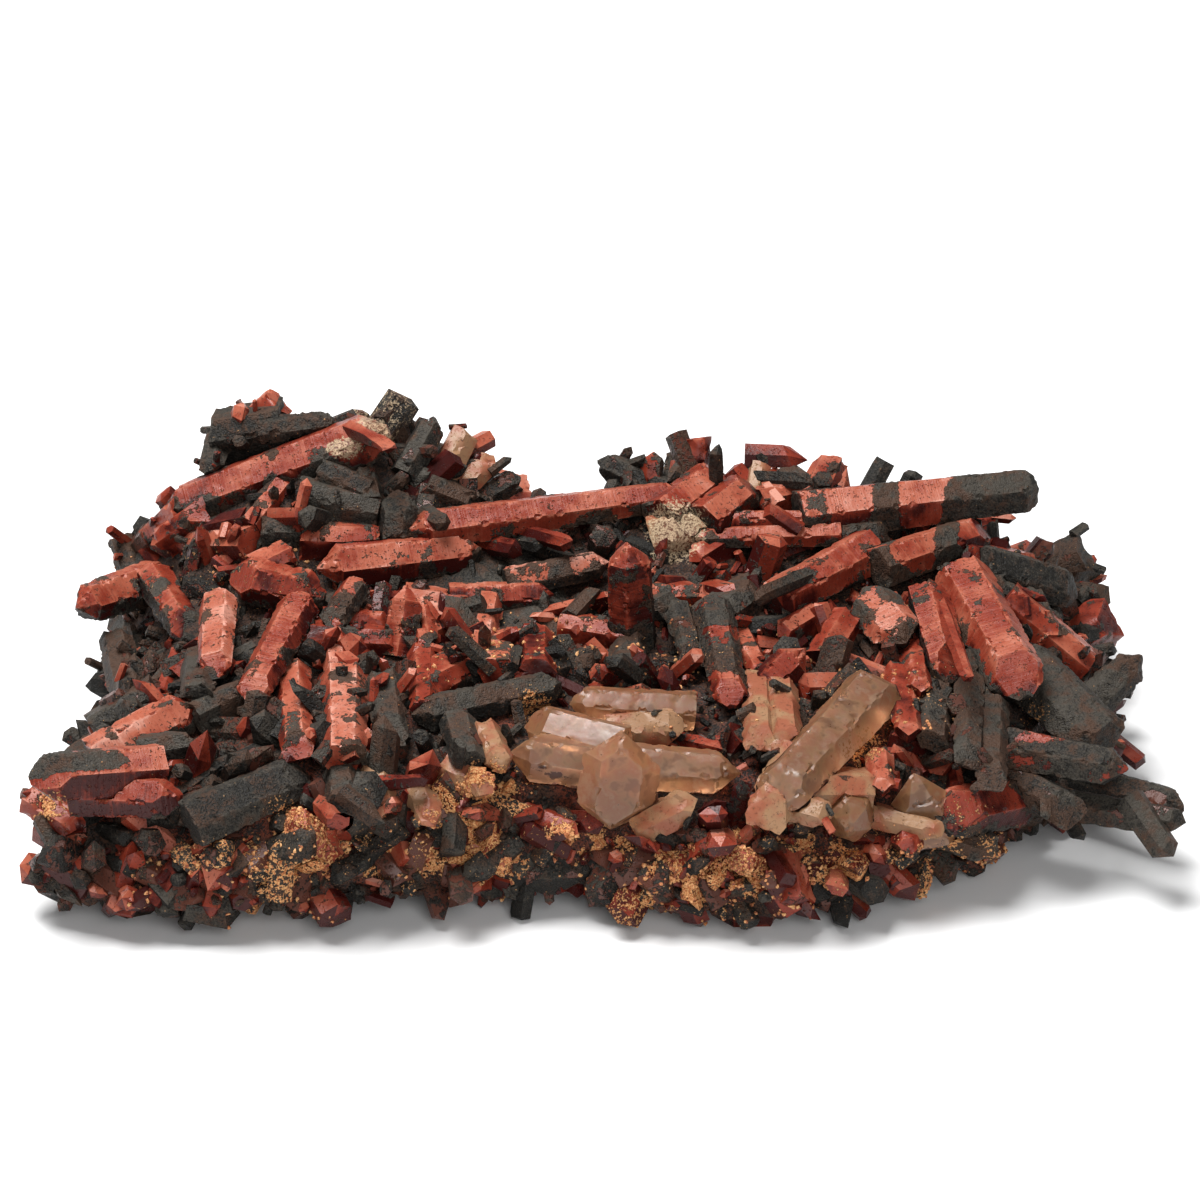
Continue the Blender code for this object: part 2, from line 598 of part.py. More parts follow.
def low_point(form, share, side):
    x, y = ring_place(share, side)
    arch = UNDERSIDE_RISE + 2.5 * rough(x, y, 0, 16.0)
    z = max(FOOT_MARGIN, arch * (1 - foot_share(x, y)))
    return form.verts.new(Vector((x, y, z)) * MM)


def foot_corners(x, y, radius, chance):
    """A knob of rock: flat on the ground, wider where it joins the plate."""
    corners = []
    for side in range(FOOT_SIDES):
        angle = 2 * math.pi * side / FOOT_SIDES
        reach = radius * (1 + 0.22 * chance.uniform(-1, 1))
        for height, wider in ((0.0, 0.0), (FOOT_HEIGHT, FOOT_FLARE)):
            place = (x + (reach + wider) * math.cos(angle), y + (reach + wider) * math.sin(angle))
            corners.append(np.array([*place, height]))
    return corners


def filling(chance):
    """Seeded crystals over the back, the sides and the far slope of the plate."""
    solids = []
    for number in range(FILL_BACK + FILL_SIDES):
        if number < FILL_BACK:
            angle = math.radians(FILL_FIRST + (FILL_LAST - FILL_FIRST) * (number + 0.5) / FILL_BACK)
            height_share = chance.uniform(*FILL_BACK_HEIGHT)
        else:
            angle = math.radians(chance.choice((0, 180)) + chance.uniform(-28, 28))
            height_share = chance.uniform(*FILL_SIDE_HEIGHT)
        share = (1 - height_share ** 2) ** (1 / EDGE_SHARPNESS)
        reach = share * outline_radius(angle)
        x = reach * math.cos(angle)
        y = reach * math.sin(angle)
        z = max(bed_height(x, y), RIM_HEIGHT)
        outward = np.array([math.cos(angle), math.sin(angle), 0.0])
        along = np.array([-math.sin(angle), math.cos(angle), 0.0])
        heading = chance.uniform(-1.3, 1.3) * along + chance.uniform(0.1, 0.8) * outward
        heading = unit(heading + WORLD_UP * chance.uniform(-0.2, 0.7))
        length = chance.uniform(*FILL_LENGTH)
        width = chance.uniform(*FILL_WIDTH)
        style = chance.choice(("point", "slant", "blunt", "slant", "chisel"))
        row = crystal("", (0, 0), (0, 0), width, flat=chance.uniform(0.7, 1.0),
                      roll=chance.uniform(-30, 30), tip_end=style)
        root = np.array([x, y, z - 1.0]) - heading * length * 0.35
        tip = root + heading * length
        solids.append(prism_planes(root, tip, row, chance, small=True))
    return solids


def material(kind):
    colour, roughness = KINDS[kind]
    made = bpy.data.materials.new(kind)
    made.use_nodes = True
    shader = made.node_tree.nodes["Principled BSDF"]
    shader.inputs["Base Color"].default_value = (*colour, 1)
    shader.inputs["Roughness"].default_value = roughness
    shader.inputs["Metallic"].default_value = 0.0
    return made


def large_solids():
    """Planes of every large crystal, grouped by the name of its piece."""
    solids = {}
    for number, row in enumerate(LARGE):
        chance = random.Random(100 + number)
        root, tip = ends_of(row)
        solids.setdefault(row["name"], []).append(prism_planes(root, tip, row, chance))
    return solids


def boxes_meet(first, second):
    """Whether two lists of corners have boxes that overlap."""
    low = np.maximum(np.min(first, axis=0), np.min(second, axis=0))
    high = np.minimum(np.max(first, axis=0), np.max(second, axis=0))
    return bool(np.all(low < high))


def make_large(solids):
    """Each large piece: its crystals joined, cut back from the pieces before it."""
    pieces = []
    finished = []
    for name, group in solids.items():
        corners = [corner_points(planes) for planes in group]
        piece = put(name, convex_mesh(name, corners[0]), bpy.context.scene.collection)
        if len(group) > 1:
            tools = collection_of("joined")
            for other in corners[1:]:
                put("joined", convex_mesh("joined", other), tools)
            boolean(piece, "UNION", tools)
            clear(tools)
        tools = collection_of("cutters")
        for wide in finished:
            if any(boxes_meet(wide, own) for own in corners):
                put("cutter", convex_mesh("cutter", wide), tools)
        if tools.objects:
            boolean(piece, "DIFFERENCE", tools)
        clear(tools)
        keep_largest(piece)
        finished += [corner_points(grown(planes, CLEARANCE)) for planes in group]
        pieces.append(piece)
    return pieces, finished


def make_plate(wide_corners):
    """The plate with its smaller crystals, and a socket for each large crystal."""
    plate = put("matrix", rock_mesh(), bpy.context.scene.collection)
    tools = collection_of("grown")
    for number, row in enumerate(RED_GROWN + DARK_GROWN + PALE_GROWN):
        chance = random.Random(500 + number)
        root, tip = ends_of(row)
        planes = prism_planes(root, tip, row, chance, small=True)
        put("grown", convex_mesh("grown", above_ground(corner_points(planes))), tools)
    for planes in filling(random.Random(FILL_SEED)):
        put("grown", convex_mesh("grown", above_ground(corner_points(planes))), tools)
    for number, (x, y, radius) in enumerate(FEET):
        corners = foot_corners(x, y, radius, random.Random(700 + number))
        put("foot", convex_mesh("foot", corners), tools)
    boolean(plate, "UNION", tools)
    clear(tools)
    tools = collection_of("sockets")
    for corners in wide_corners:
        put("socket", convex_mesh("socket", corners), tools)
    boolean(plate, "DIFFERENCE", tools)
    clear(tools)
    keep_largest(plate)
    return plate


def centre(pieces):
    """Move every mesh so that the origin is under the middle of the whole."""
    points = np.array([vertex.co for piece in pieces for vertex in piece.data.vertices])
    low = points.min(axis=0)
    high = points.max(axis=0)
    shift = Vector(((low[0] + high[0]) / 2, (low[1] + high[1]) / 2, low[2]))
    for piece in pieces:
        for vertex in piece.data.vertices:
            vertex.co -= shift
    return shift


def main():
    for item in list(bpy.data.objects):
        bpy.data.objects.remove(item)
    pieces, wide_corners = make_large(large_solids())
    plate = make_plate(wide_corners)
    materials = {kind: material(kind) for kind in KINDS}
    for piece in pieces:
        piece.data.materials.clear()
        piece.data.materials.append(materials[piece.name.split("_")[0]])
    plate.data.materials.clear()
    plate.data.materials.append(materials["rock"])
    pieces.append(plate)
    return centre(pieces)


SHIFT = main()
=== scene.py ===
# Looks of a red quartz cluster: worn crystal faces, dark coats, crust, rusty
# grains and the thousands of small crystals that fill the gaps.
import math
import random

import bmesh
import bpy
import numpy as np
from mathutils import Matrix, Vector, noise
from mathutils.bvhtree import BVHTree
from mathutils.geometry import delaunay_2d_cdt


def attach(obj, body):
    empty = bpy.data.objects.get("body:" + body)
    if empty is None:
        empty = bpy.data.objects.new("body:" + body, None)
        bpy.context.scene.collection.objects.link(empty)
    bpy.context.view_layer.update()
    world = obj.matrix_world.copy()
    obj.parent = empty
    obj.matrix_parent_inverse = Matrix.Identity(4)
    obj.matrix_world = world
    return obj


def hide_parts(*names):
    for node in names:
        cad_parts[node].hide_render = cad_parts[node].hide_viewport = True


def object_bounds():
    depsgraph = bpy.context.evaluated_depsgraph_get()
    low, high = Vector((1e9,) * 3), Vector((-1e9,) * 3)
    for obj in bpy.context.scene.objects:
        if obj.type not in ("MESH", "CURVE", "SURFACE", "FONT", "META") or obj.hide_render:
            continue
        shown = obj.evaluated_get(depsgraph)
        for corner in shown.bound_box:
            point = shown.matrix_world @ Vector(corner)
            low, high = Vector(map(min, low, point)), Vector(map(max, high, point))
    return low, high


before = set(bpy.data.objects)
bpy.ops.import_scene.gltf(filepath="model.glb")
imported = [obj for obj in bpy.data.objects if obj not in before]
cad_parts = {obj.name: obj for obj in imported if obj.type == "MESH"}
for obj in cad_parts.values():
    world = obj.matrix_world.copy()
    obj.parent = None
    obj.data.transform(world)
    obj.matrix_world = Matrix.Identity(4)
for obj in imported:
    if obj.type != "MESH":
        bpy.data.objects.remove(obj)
CAD_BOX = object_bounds()

MM = 0.001

# The picture plane that places on the specimen are named in: u to the right and
# v up, in millimetres, for a viewer who looks along +Y and down by VIEW_TILT. The
# middle of the view is AIM, which lies at u 0 and v AIM_V
VIEW_TILT = math.radians(28)
VIEW_DISTANCE = 900.0
AIM = np.array([-1.588, -9.241, 51.0])
AIM_V = 82.5
RIGHT = np.array([1.0, 0.0, 0.0])
UPWARD = np.array([0.0, math.sin(VIEW_TILT), math.cos(VIEW_TILT)])
TO_VIEWER = np.array([0.0, -math.cos(VIEW_TILT), math.sin(VIEW_TILT)])
VIEWER = AIM + VIEW_DISTANCE * TO_VIEWER
PICTURE_WIDTH = 300.0
SENSOR_WIDTH = 36.0

# Triangle sizes of the finished surfaces, and the gap that they keep from the sides
# of the solids' box, in millimetres
CRYSTAL_GRAIN = 0.85
ROCK_GRAIN = 1.35
BOX_GAP = 0.02

# Folds between two facets: too slight to keep, sharp enough to chip, drawn sharp
FLAT_ANGLE = math.radians(0.4)
CHIPPING_ANGLE = 0.35
SHARP_ANGLE = math.radians(30)

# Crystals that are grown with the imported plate: the fold that parts two of them,
# their least and greatest area in square millimetres, and how many of them are red
# where no place below says what they are
CREASE = math.radians(7)
SMALLEST_GROWN = 10.0
LARGEST_GROWN = 1500.0
RED_SHARE = 0.4

# How close the wall of a socket is to the large crystal in it, in millimetres
SOCKET_REACH = 0.45

# How far the front wall draws in near the ground, but for its two feet at x and y
UNDERCUT = 5.0
FRONT_FEET = [(-113.6, -69.2), (32.4, -71.2)]

# How far the dark coat covers a crystal of each kind: -1 bare, 1 all over
COAT = {"red": -0.42, "patched": 0.0, "coated": 0.7, "smoky": -0.9}

# How pale each red crystal is: 0 deep maroon, 0.5 brick, 1 salmon
PALE = {
    "red_back_left_long": 0.62, "red_middle_long": 0.6, "red_centre_left_long": 0.6,
    "red_back_blocks": 0.5, "patched_back_right_long": 0.5, "red_right_large": 0.5,
    "red_standing_centre": 0.42, "patched_centre_right": 0.5, "patched_right_cross": 0.5,
    "red_right_pale_end": 0.5, "red_salmon_sheaf": 0.75, "red_left_front": 0.45,
    "red_left_front_lower": 0.45, "patched_right_tail": 0.35, "red_left_block": 0.4,
    "red_left_leaning": 0.5, "red_left_upright": 0.7, "red_left_tilted": 0.35,
    "red_left_point": 0.4, "red_pink_slab": 0.8, "patched_centre_pink": 0.85,
    "red_centre_flat": 0.5, "patched_centre_hooked": 0.6, "red_front_right_block": 0.4,
    "red_orange_tip": 0.5, "red_peak_tip": 0.55, "patched_right_wedge": 0.75,
    "red_right_steep": 0.45,
}

# Places where the coat was read from the picture: middle u and v, half width,
# half height and how much it adds (positive) or bares (negative)
COAT_SPOTS = [
    (71.7, 107, 3, 7, 1.2), (98, 109, 11, 7, 1.4), (63, 106, 5, 7, -1.2), (81, 108, 6, 7, -1.2),
    (79.5, 95, 5, 5, -1.2), (93.5, 98, 4, 5, -1.2), (87, 96, 3, 6, 1.2), (99, 101, 3, 4, 1),
    (29, 78, 6, 2, 1), (31, 69, 6, 2, 1), (33, 59, 5, 4, -1.2), (-76.5, 68.5, 4, 2.5, 1.2),
    (-134, 42, 12, 2.5, 1.4), (-143, 41, 4, 3, 1), (-133, 34, 9, 4, -0.8),
    (-117, 34, 8, 5, -0.8), (106, 59, 4, 3, 0.7), (8, 70, 8, 5, 0.8), (7.5, 90, 4, 9, -0.6),
    (52, 88, 3, 2.5, 0.9), (118, 45, 14, 2, 1), (138, 33, 3, 2, -1.8), (-60, 83, 3, 3, 0.5),
    (-10, 89, 3, 2, 0.8), (-113, 86, 4, 3, 0.6), (44, 108, 3, 2, 0.6),
]

# Places of red, dark and smoky crystals that are grown with the plate
RED_PLACES = [
    (-102, 103), (-103, 97), (-79, 93), (-81, 109), (-73, 100), (-37, 81), (-44, 74), (-39, 76),
    (-30, 72), (-58, 72), (-65, 66), (22, 84), (4, 74), (13, 117), (24, 119), (56, 113), (47, 109),
    (104, 92), (97, 86), (106, 83), (79, 64), (76, 54), (60, 75), (-109, 30), (-76, 51),
    (-44, 61), (-34, 65), (-25, 66), (-16, 67), (71, 37), (77, 21), (-9, 25), (-112, 14), (-122, 3),
    (-132, 27), (-58, 77), (47, 75), (39, 67), (25, 94),
]
DARK_PLACES = [
    (-111, 100), (-119, 94), (-92, 125), (-82, 130), (-97, 116), (-62, 106), (-61, 98), (-66, 113),
    (-59, 114), (-44, 122), (-22, 112), (-34, 108), (5, 115), (19, 117),
    (39, 115), (60, 104), (38, 84), (69, 99), (115, 72), (92, 51), (98, 45), (83, 53), (131, 29),
    (114, 31), (96, 21), (-99, 37), (-89, 47), (-92, 59), (-120, 68), (-110, 75), (-116, 57),
    (-135, 11), (-64, 50), (-53, 52), (-64, 34), (-34, 45), (7, 66), (-3, 68), (22, 71), (-86, 43),
    (-105, 46), (60, 58), (110, 80), (116, 97), (121, 92), (122, 86), (119, 88), (125, 84),
]
SMOKY_PLACES = [
    (19, 100), (40, 114), (17, 51), (20, 31), (43, 31), (40, 51), (46, 50), (29, 24), (62, 35),
    (53, 30), (81, 26), (-55, 31), (-43, 29), (-30, 36), (-26, 43), (-36, 121), (-28, 117),
]

# Kinds of what is grown with the plate, and how much coat each carries in that order
ROCK, RED, DARK, SMOKY = range(4)
GROWN_COAT = [0.3, -0.35, 0.5, -0.75]

# Where rusty grains gather: middle u and v, half width, half height, strength
RUST_SPOTS = [
    (-137, 30, 5, 5, 0.7), (-80, 17, 14, 7, 0.8), (-80, 31, 4, 3, 0.6), (-52, 20, 9, 7, 0.8),
    (-30, 17, 14, 5, 0.7), (-28, 37, 9, 5, 1.0), (-41, 32, 5, 4, 0.7), (-17, 56, 5, 4, 0.7),
    (65, 46, 7, 5, 0.6), (92, 30, 7, 3, 0.5), (109, 54, 4, 4, 0.5), (-5, 22, 12, 6, 0.8),
    (30, 14, 22, 8, 0.8), (58, 20, 14, 7, 0.7), (88, 20, 14, 5, 0.6), (-105, 15, 12, 7, 0.4),
    (5, 66, 45, 14, 0.17), (-95, 87, 25, 8, 0.2), (70, 58, 16, 8, 0.25),
]

# Where a cream to tan crust lies: middle u and v, half width, half height
TAN_SPOTS = [(-54.5, 126, 7, 4), (-64, 120.5, 5, 3), (19, 100, 8, 8)]

# Where the small crystals are mostly red: middle u and v, half width, half height
RED_ZONES = [
    (-50, 76, 28, 14), (-88, 95, 30, 16), (20, 70, 26, 18), (60, 86, 34, 18), (85, 80, 24, 20),
    (20, 22, 60, 16), (-110, 14, 22, 12), (40, 106, 24, 10),
]

# Small crystals set one by one: root, tip, width and how far the tip rises
SMALL_RED = [
    ((-94, 92), (-83, 101), 4.5, 6), ((-61, 125), (-52, 121), 5, 1), ((-76, 102), (-73, 113), 4, 9),
    ((45, 94), (60, 99), 3.5, 1), ((43, 89), (38, 95), 4, 2), ((64, 83), (69, 75), 4, 1),
    ((86, 80), (92, 63), 4, 3), ((-109, 60), (-105, 70), 5, 2), ((-105, 65), (-98, 71), 5, 2),
    ((-56, 37), (-43, 37.5), 4, 1), ((-69, 31), (-63, 24), 5, -2),
    ((20, 48), (31, 45), 5, 1), ((-12, 80), (-2, 82), 5, 2), ((-29, 97), (-20, 95), 5, 1),
    ((-17, 99.5), (-7, 96.5), 5, 1), ((49, 101), (41, 106), 5, 2), ((-24, 73), (-20, 75), 4, 2),
]
SMALL_DARK = [
    ((-45, 105.5), (-39, 101.5), 5, 2), ((-24, 98), (-14, 96), 5, 1), ((-16, 95), (-4, 91), 5, 1),
    ((29, 113), (29, 121), 5, 8), ((41, 113), (53, 112), 5, 2), ((50, 88), (39, 83), 5, 1),
]

# Colours of the finishes
MAROON = (0.040, 0.005, 0.004, 1)
BRICK = (0.195, 0.028, 0.014, 1)
SALMON = (0.34, 0.092, 0.052, 1)
# The palest pink is a painted sheen on the brightest faces.
SHEEN_PINK = (0.50, 0.23, 0.17, 1)
BODY_BROWN = (0.085, 0.03, 0.02, 1)
COAT_BLACK = (0.0095, 0.0085, 0.007, 1)
COAT_GREY = (0.050, 0.043, 0.034, 1)
COAT_BROWN = (0.060, 0.032, 0.020, 1)
CRUST_BLACK = (0.010, 0.007, 0.006, 1)
CRUST_BROWN = (0.070, 0.034, 0.021, 1)
CRUST_RED = (0.15, 0.036, 0.018, 1)
CREAM = (0.52, 0.39, 0.25, 1)
RUST_ORANGE = (0.40, 0.125, 0.04, 1)
RUST_YELLOW = (0.64, 0.34, 0.14, 1)
SMOKY_TAN = (0.27, 0.15, 0.08, 1)
SMOKY_PINK = (0.25, 0.08, 0.042, 1)
VEIL_TAN = (0.68, 0.36, 0.16, 1)
VEIL_PINK = (0.62, 0.24, 0.11, 1)
VEIL_MILKY = (0.74, 0.48, 0.28, 1)
FLOOR_GREY = (0.86, 0.86, 0.86, 1)

# Gloss of the finishes, and how smoky quartz bends light and lets it through
MINERAL_GLOSS = 0.22
SMOKY_GLOSS = 0.2
QUARTZ_IOR = 1.544
CLEARNESS = 0.82

# What grows on a surface: the attribute that says where there is room, how many to a
# square metre, the range of lengths, the range of widths as shares of the length,
# how far each leans from the surface's normal, and how much coat it carries
GROWTHS = {
    "front_wall_crystals": {
        "Room": "wall", "Density": 24000.0, "Shortest": 6 * MM, "Longest": 12 * MM,
        "Slimmest": 0.6, "Stoutest": 1.0, "Lean": 4.0, "Coat": 0.1, "Seed": 12},
    "crystal_growth_coarse": {
        "Room": "room", "Density": 20000.0, "Shortest": 7 * MM, "Longest": 14 * MM,
        "Slimmest": 0.42, "Stoutest": 0.75, "Lean": 3.0, "Coat": 0.3, "Seed": 3},
    "crystal_growth_fine": {
        "Room": "room", "Density": 58000.0, "Shortest": 2.5 * MM, "Longest": 6 * MM,
        "Slimmest": 0.5, "Stoutest": 0.9, "Lean": 2.5, "Coat": 0.25, "Seed": 8},
    "rusty_grains": {
        "Room": "rust_room", "Density": 620000.0, "Shortest": 0.6 * MM, "Longest": 1.7 * MM,
        "Slimmest": 0.8, "Stoutest": 1.2, "Lean": 1.0, "Coat": 0.0, "Seed": 21},
    "rusty_grains_on_crystals": {
        "Room": "rust_room", "Density": 700000.0, "Shortest": 0.5 * MM, "Longest": 1.5 * MM,
        "Slimmest": 0.8, "Stoutest": 1.2, "Lean": 1.0, "Coat": 0.0, "Seed": 22},
}

# Corners of one small crystal and of one grain
PRISM_CORNERS = 13
GRAIN_CORNERS = 12

# Seeds of the random draws: the places of triangles, the kinds and tones of what is
# grown with the plate, and the shapes of crystals, grains and crystals set by hand
SKIN_SEED = 4
KIND_SEED = 5
TONE_SEED = 9
CRYSTAL_SEED = 40
GRAIN_SEED = 70
SMALL_SEED = 900

# The studio: the floor's half width in metres, the even light from all around, and
# each softbox by its place, width in metres and watts
FLOOR_REACH = 4.0
EVEN_LIGHT = 0.16
SOFTBOXES = {
    "overhead": ((-0.3, 0.1, 1.1), 0.7, 25.0),
    "front_fill": ((0.3, -1.2, 0.8), 0.8, 8.0),
}


# Shader and geometry graphs written as expressions

class Link:
    """A node's output. Arithmetic on it adds Math nodes to its graph."""

    def __init__(self, graph, socket):
        self.graph = graph
        self.socket = socket

    def other(self, name):
        """Another output of the same node."""
        return Link(self.graph, self.socket.node.outputs[name])

    def __add__(self, value):
        return self.graph.math("ADD", self, value)

    def __sub__(self, value):
        return self.graph.math("SUBTRACT", self, value)

    def __rsub__(self, value):
        return self.graph.math("SUBTRACT", value, self)

    def __mul__(self, value):
        return self.graph.math("MULTIPLY", self, value)

    __radd__ = __add__
    __rmul__ = __mul__


class Graph:
    """A node tree to which nodes are added one call each."""

    def __init__(self, tree):
        self.tree = tree

    def node(self, kind, settings=None, values=None, output=0):
        """A new node: its settings first, then its sockets' values or links."""
        made = self.tree.nodes.new(kind)
        for name, setting in (settings or {}).items():
            setattr(made, name, setting)
        for name, value in (values or {}).items():
            if isinstance(value, Link):
                self.tree.links.new(value.socket, made.inputs[name])
            else:
                made.inputs[name].default_value = value
        return Link(self, made.outputs[output]) if made.outputs else None

    def math(self, operation, first, second):
        return self.node("ShaderNodeMath", {"operation": operation}, {0: first, 1: second})

    def step(self, value, low, high):
        """A smooth rise from 0 to 1 while a value goes from low to high."""
        return self.node("ShaderNodeMapRange", {"interpolation_type": "SMOOTHSTEP"},
                         {"Value": value, "From Min": low, "From Max": high})

    def mix(self, factor, first, second):
        """A colour between two others."""
        return self.node("ShaderNodeMix", {"data_type": "RGBA"},
                         {0: factor, 6: first, 7: second}, output=2)

    def noise(self, place, size, detail=3.0, roughness=0.55):
        """Smooth noise whose lumps are about size millimetres."""
        return self.node("ShaderNodeTexNoise", values={
            "Vector": place, "Scale": 1 / (size * MM), "Detail": detail, "Roughness": roughness})

    def place(self):
        """The object's own coordinates."""
        return self.node("ShaderNodeTexCoord", output="Object")

    def attribute(self, name):
        """What a piece stores under a name; 0 where it stores nothing."""
        return self.node("ShaderNodeAttribute", {"attribute_name": name}, output="Fac")


def new_material(name):
    """A material with its graph and its shader."""
    made = bpy.data.materials.new(name)
    made.use_nodes = True
    return made, Graph(made.node_tree), made.node_tree.nodes["Principled BSDF"]


def feed(graph, shader, links):
    """Link what changes over a surface to the shader's sockets."""
    for name, value in links.items():
        graph.tree.links.new(value.socket, shader.inputs[name])


def red_colour(graph, grit, fine, medium, broad, lines, painted_top_light):
    """Red quartz from maroon to a pale pink that is a painted sheen, paler on top as painted light
    from above, and its dark specks.
    """
    # Faces that turn up are painted paler: painted light from above.
    tone = graph.attribute("pale") + (broad - 0.5) * 1.2 + (medium - 0.5) * 0.5 + painted_top_light * 0.5 - 0.34
    # Darker near the rock or the large crystals: painted shade.
    tone = tone + (fine - 0.5) * 0.4 + (lines - 0.5) * 0.5 - graph.attribute("dark") * 0.45
    # Lighter along edges: wear, with a painted edge highlight.
    tone = tone + graph.attribute("facet") * 0.5 + graph.attribute("edge") * 0.22
    red = graph.mix(graph.step(tone, 0.0, 0.42), MAROON, BRICK)
    red = graph.mix(graph.step(tone, 0.42, 0.9), red, SALMON)
    # The brightest tones turn pink: a painted sheen.
    red = graph.mix(graph.step(tone, 0.9, 1.35), red, SHEEN_PINK)
    specks = graph.step(fine + (grit - 0.5) * 0.7, 0.62, 0.74)
    return graph.mix(specks * 0.65, red, MAROON), specks


def coat_colour(graph, grit, fine, medium, broad, painted_top_light):
    """The dark coat: black to grey, brown in patches, paler on top as painted light from above, and
    paler on edges as wear with a painted edge highlight.
    """
    pale = graph.attribute("pale")
    hue = graph.step(broad + (medium - 0.5) * 0.8 + pale * 0.3, 0.56, 0.8)
    # Faces that turn up are painted a little paler: painted light from above.
    tone = medium * 0.6 + fine * 0.5 + (grit - 0.5) * 0.9 + painted_top_light * 0.12
    # Lighter along edges: wear, with a painted edge highlight.
    tone = tone + graph.attribute("facet") * 0.26 + graph.attribute("edge") * 0.16
    tone = graph.step(tone + (pale - 0.45) * 0.3, 0.42, 0.8)
    return graph.mix(tone, COAT_BLACK, graph.mix(hue, COAT_GREY, COAT_BROWN))


def crust_colour(graph, grit, fine, medium, broad):
    """The crust of the rock: black to brown, and redder where it is warm."""
    tone = graph.step(medium * 0.5 + fine * 0.6 + (grit - 0.5) * 0.8, 0.42, 0.75)
    warm = graph.attribute("warm") * graph.step(broad, 0.4, 0.6)
    return graph.mix(tone, CRUST_BLACK, graph.mix(warm, CRUST_BROWN, CRUST_RED))


def mineral_material():
    """Quartz, coat, crust and rust in one finish, laid out by the pieces' attributes."""
    made, graph, shader = new_material("quartz_and_crust")
    place = graph.place()
    grit = graph.noise(place, 0.45, 1.0, 0.6)
    fine = graph.noise(place, 1.0, 2.0, 0.7)
    medium = graph.noise(place, 3.0, 2.0)
    broad = graph.noise(place, 10.0, 1.0)
    lines = graph.node("ShaderNodeTexNoise", {"noise_dimensions": "1D"}, {
        "W": graph.attribute("along"), "Scale": 0.9, "Detail": 4.0, "Roughness": 0.75})
    facing = graph.node("ShaderNodeNewGeometry", output="Normal")
    # painted_top_light is how far a face turns up; it paints light from above into the colours.
    painted_top_light = graph.node("ShaderNodeSeparateXYZ", values={"Vector": facing}, output="Z")

    red, specks = red_colour(graph, grit, fine, medium, broad, lines, painted_top_light)
    smoky = graph.mix(graph.step(broad + (medium - 0.5) * 0.6, 0.35, 0.65), SMOKY_TAN, SMOKY_PINK)
    body = graph.mix(graph.attribute("red"), BODY_BROWN, red)
    body = graph.mix(graph.attribute("smoky"), body, smoky)

    field = graph.attribute("coat") + graph.attribute("bias")
    field = field + (medium - 0.5) * 1.1 + (fine - 0.5) * 0.9 + (grit - 0.5) * 0.3
    coated = graph.step(field, -0.05, 0.05)
    colour = graph.mix(coated, body, coat_colour(graph, grit, fine, medium, broad, painted_top_light))
    crust = graph.attribute("crust")
    colour = graph.mix(crust, colour, crust_colour(graph, grit, fine, medium, broad))
    creamy = graph.step(graph.attribute("tan") + (fine - 0.5) * 1.2 + (grit - 0.5) * 0.6, 0.55, 0.8)
    cream_tone = graph.mix(graph.step(grit + fine, 0.8, 1.15), COAT_BROWN, CREAM)
    colour = graph.mix(creamy * 0.8, colour, cream_tone)

    rusty = graph.attribute("rust") * 0.8 + (fine - 0.5) * 1.5 + (grit - 0.5) * 0.6
    rust_mask = graph.step(rusty, 0.36, 0.5)
    rust = graph.mix(graph.step(grit, 0.42, 0.62), RUST_ORANGE, RUST_YELLOW)
    colour = graph.mix(rust_mask, colour, rust)

    rough_places = graph.math("MAXIMUM", graph.math("MAXIMUM", coated, crust), rust_mask)
    height = fine * (rough_places * 1.7 + 0.2) + grit * (rough_places * 0.9 + 0.1)
    height = height + lines * 0.5 - specks * 0.5
    bump = graph.node("ShaderNodeBump", values={
        "Strength": 1.0, "Distance": 0.4 * MM, "Height": height})
    feed(graph, shader, {
        "Base Color": colour,
        "Roughness": rough_places * 0.24 + 0.34 + (medium - 0.5) * 0.3 + (grit - 0.5) * 0.3,
        "Normal": bump,
    })
    shader.inputs["Specular IOR Level"].default_value = MINERAL_GLOSS
    return made


def smoky_material():
    """Smoky quartz that light partly passes through, with milky and rusty veils."""
    made, graph, shader = new_material("smoky_quartz")
    place = graph.place()
    fine = graph.noise(place, 1.0, 2.0, 0.7)
    medium = graph.noise(place, 3.5, 2.0)
    broad = graph.noise(place, 9.0, 1.0)
    colour = graph.mix(graph.step(broad + (medium - 0.5) * 0.9, 0.34, 0.62), VEIL_TAN, VEIL_PINK)
    milky = graph.step(medium + (broad - 0.5) * 0.8 + (fine - 0.5) * 0.4, 0.54, 0.74)
    colour = graph.mix(milky * 0.6, colour, VEIL_MILKY)
    # Milky along edges: wear, with a painted edge highlight.
    colour = graph.mix(graph.attribute("edge") * 0.35, colour, VEIL_MILKY)
    dim = 1 - graph.step(broad * 0.6 + medium * 0.6, 0.46, 0.56)
    colour = graph.mix(dim * 0.6, colour, SMOKY_PINK)
    rusty = graph.attribute("rust") * 0.7 + (fine - 0.5) * 1.6 + (medium - 0.5) * 1.2
    colour = graph.mix(graph.step(rusty, 0.36, 0.6), colour, RUST_ORANGE)
    field = graph.attribute("coat") + (medium - 0.5) * 1.1 + (fine - 0.5) * 0.9
    # More brown near the rock: painted shade.
    field = field + graph.attribute("dark") * 0.4
    colour = graph.mix(graph.step(field, -0.12, 0.06), colour, BODY_BROWN)
    bump = graph.node("ShaderNodeBump", values={
        "Strength": 0.45, "Distance": 0.3 * MM, "Height": fine * 0.3 + medium * 0.7})
    feed(graph, shader, {
        "Base Color": colour,
        "Roughness": (medium - 0.5) * 0.4 + (fine - 0.5) * 0.3 + 0.4,
        "Normal": bump,
    })
    shader.inputs["IOR"].default_value = QUARTZ_IOR
    shader.inputs["Specular IOR Level"].default_value = SMOKY_GLOSS
    shader.inputs["Transmission Weight"].default_value = CLEARNESS
    return made


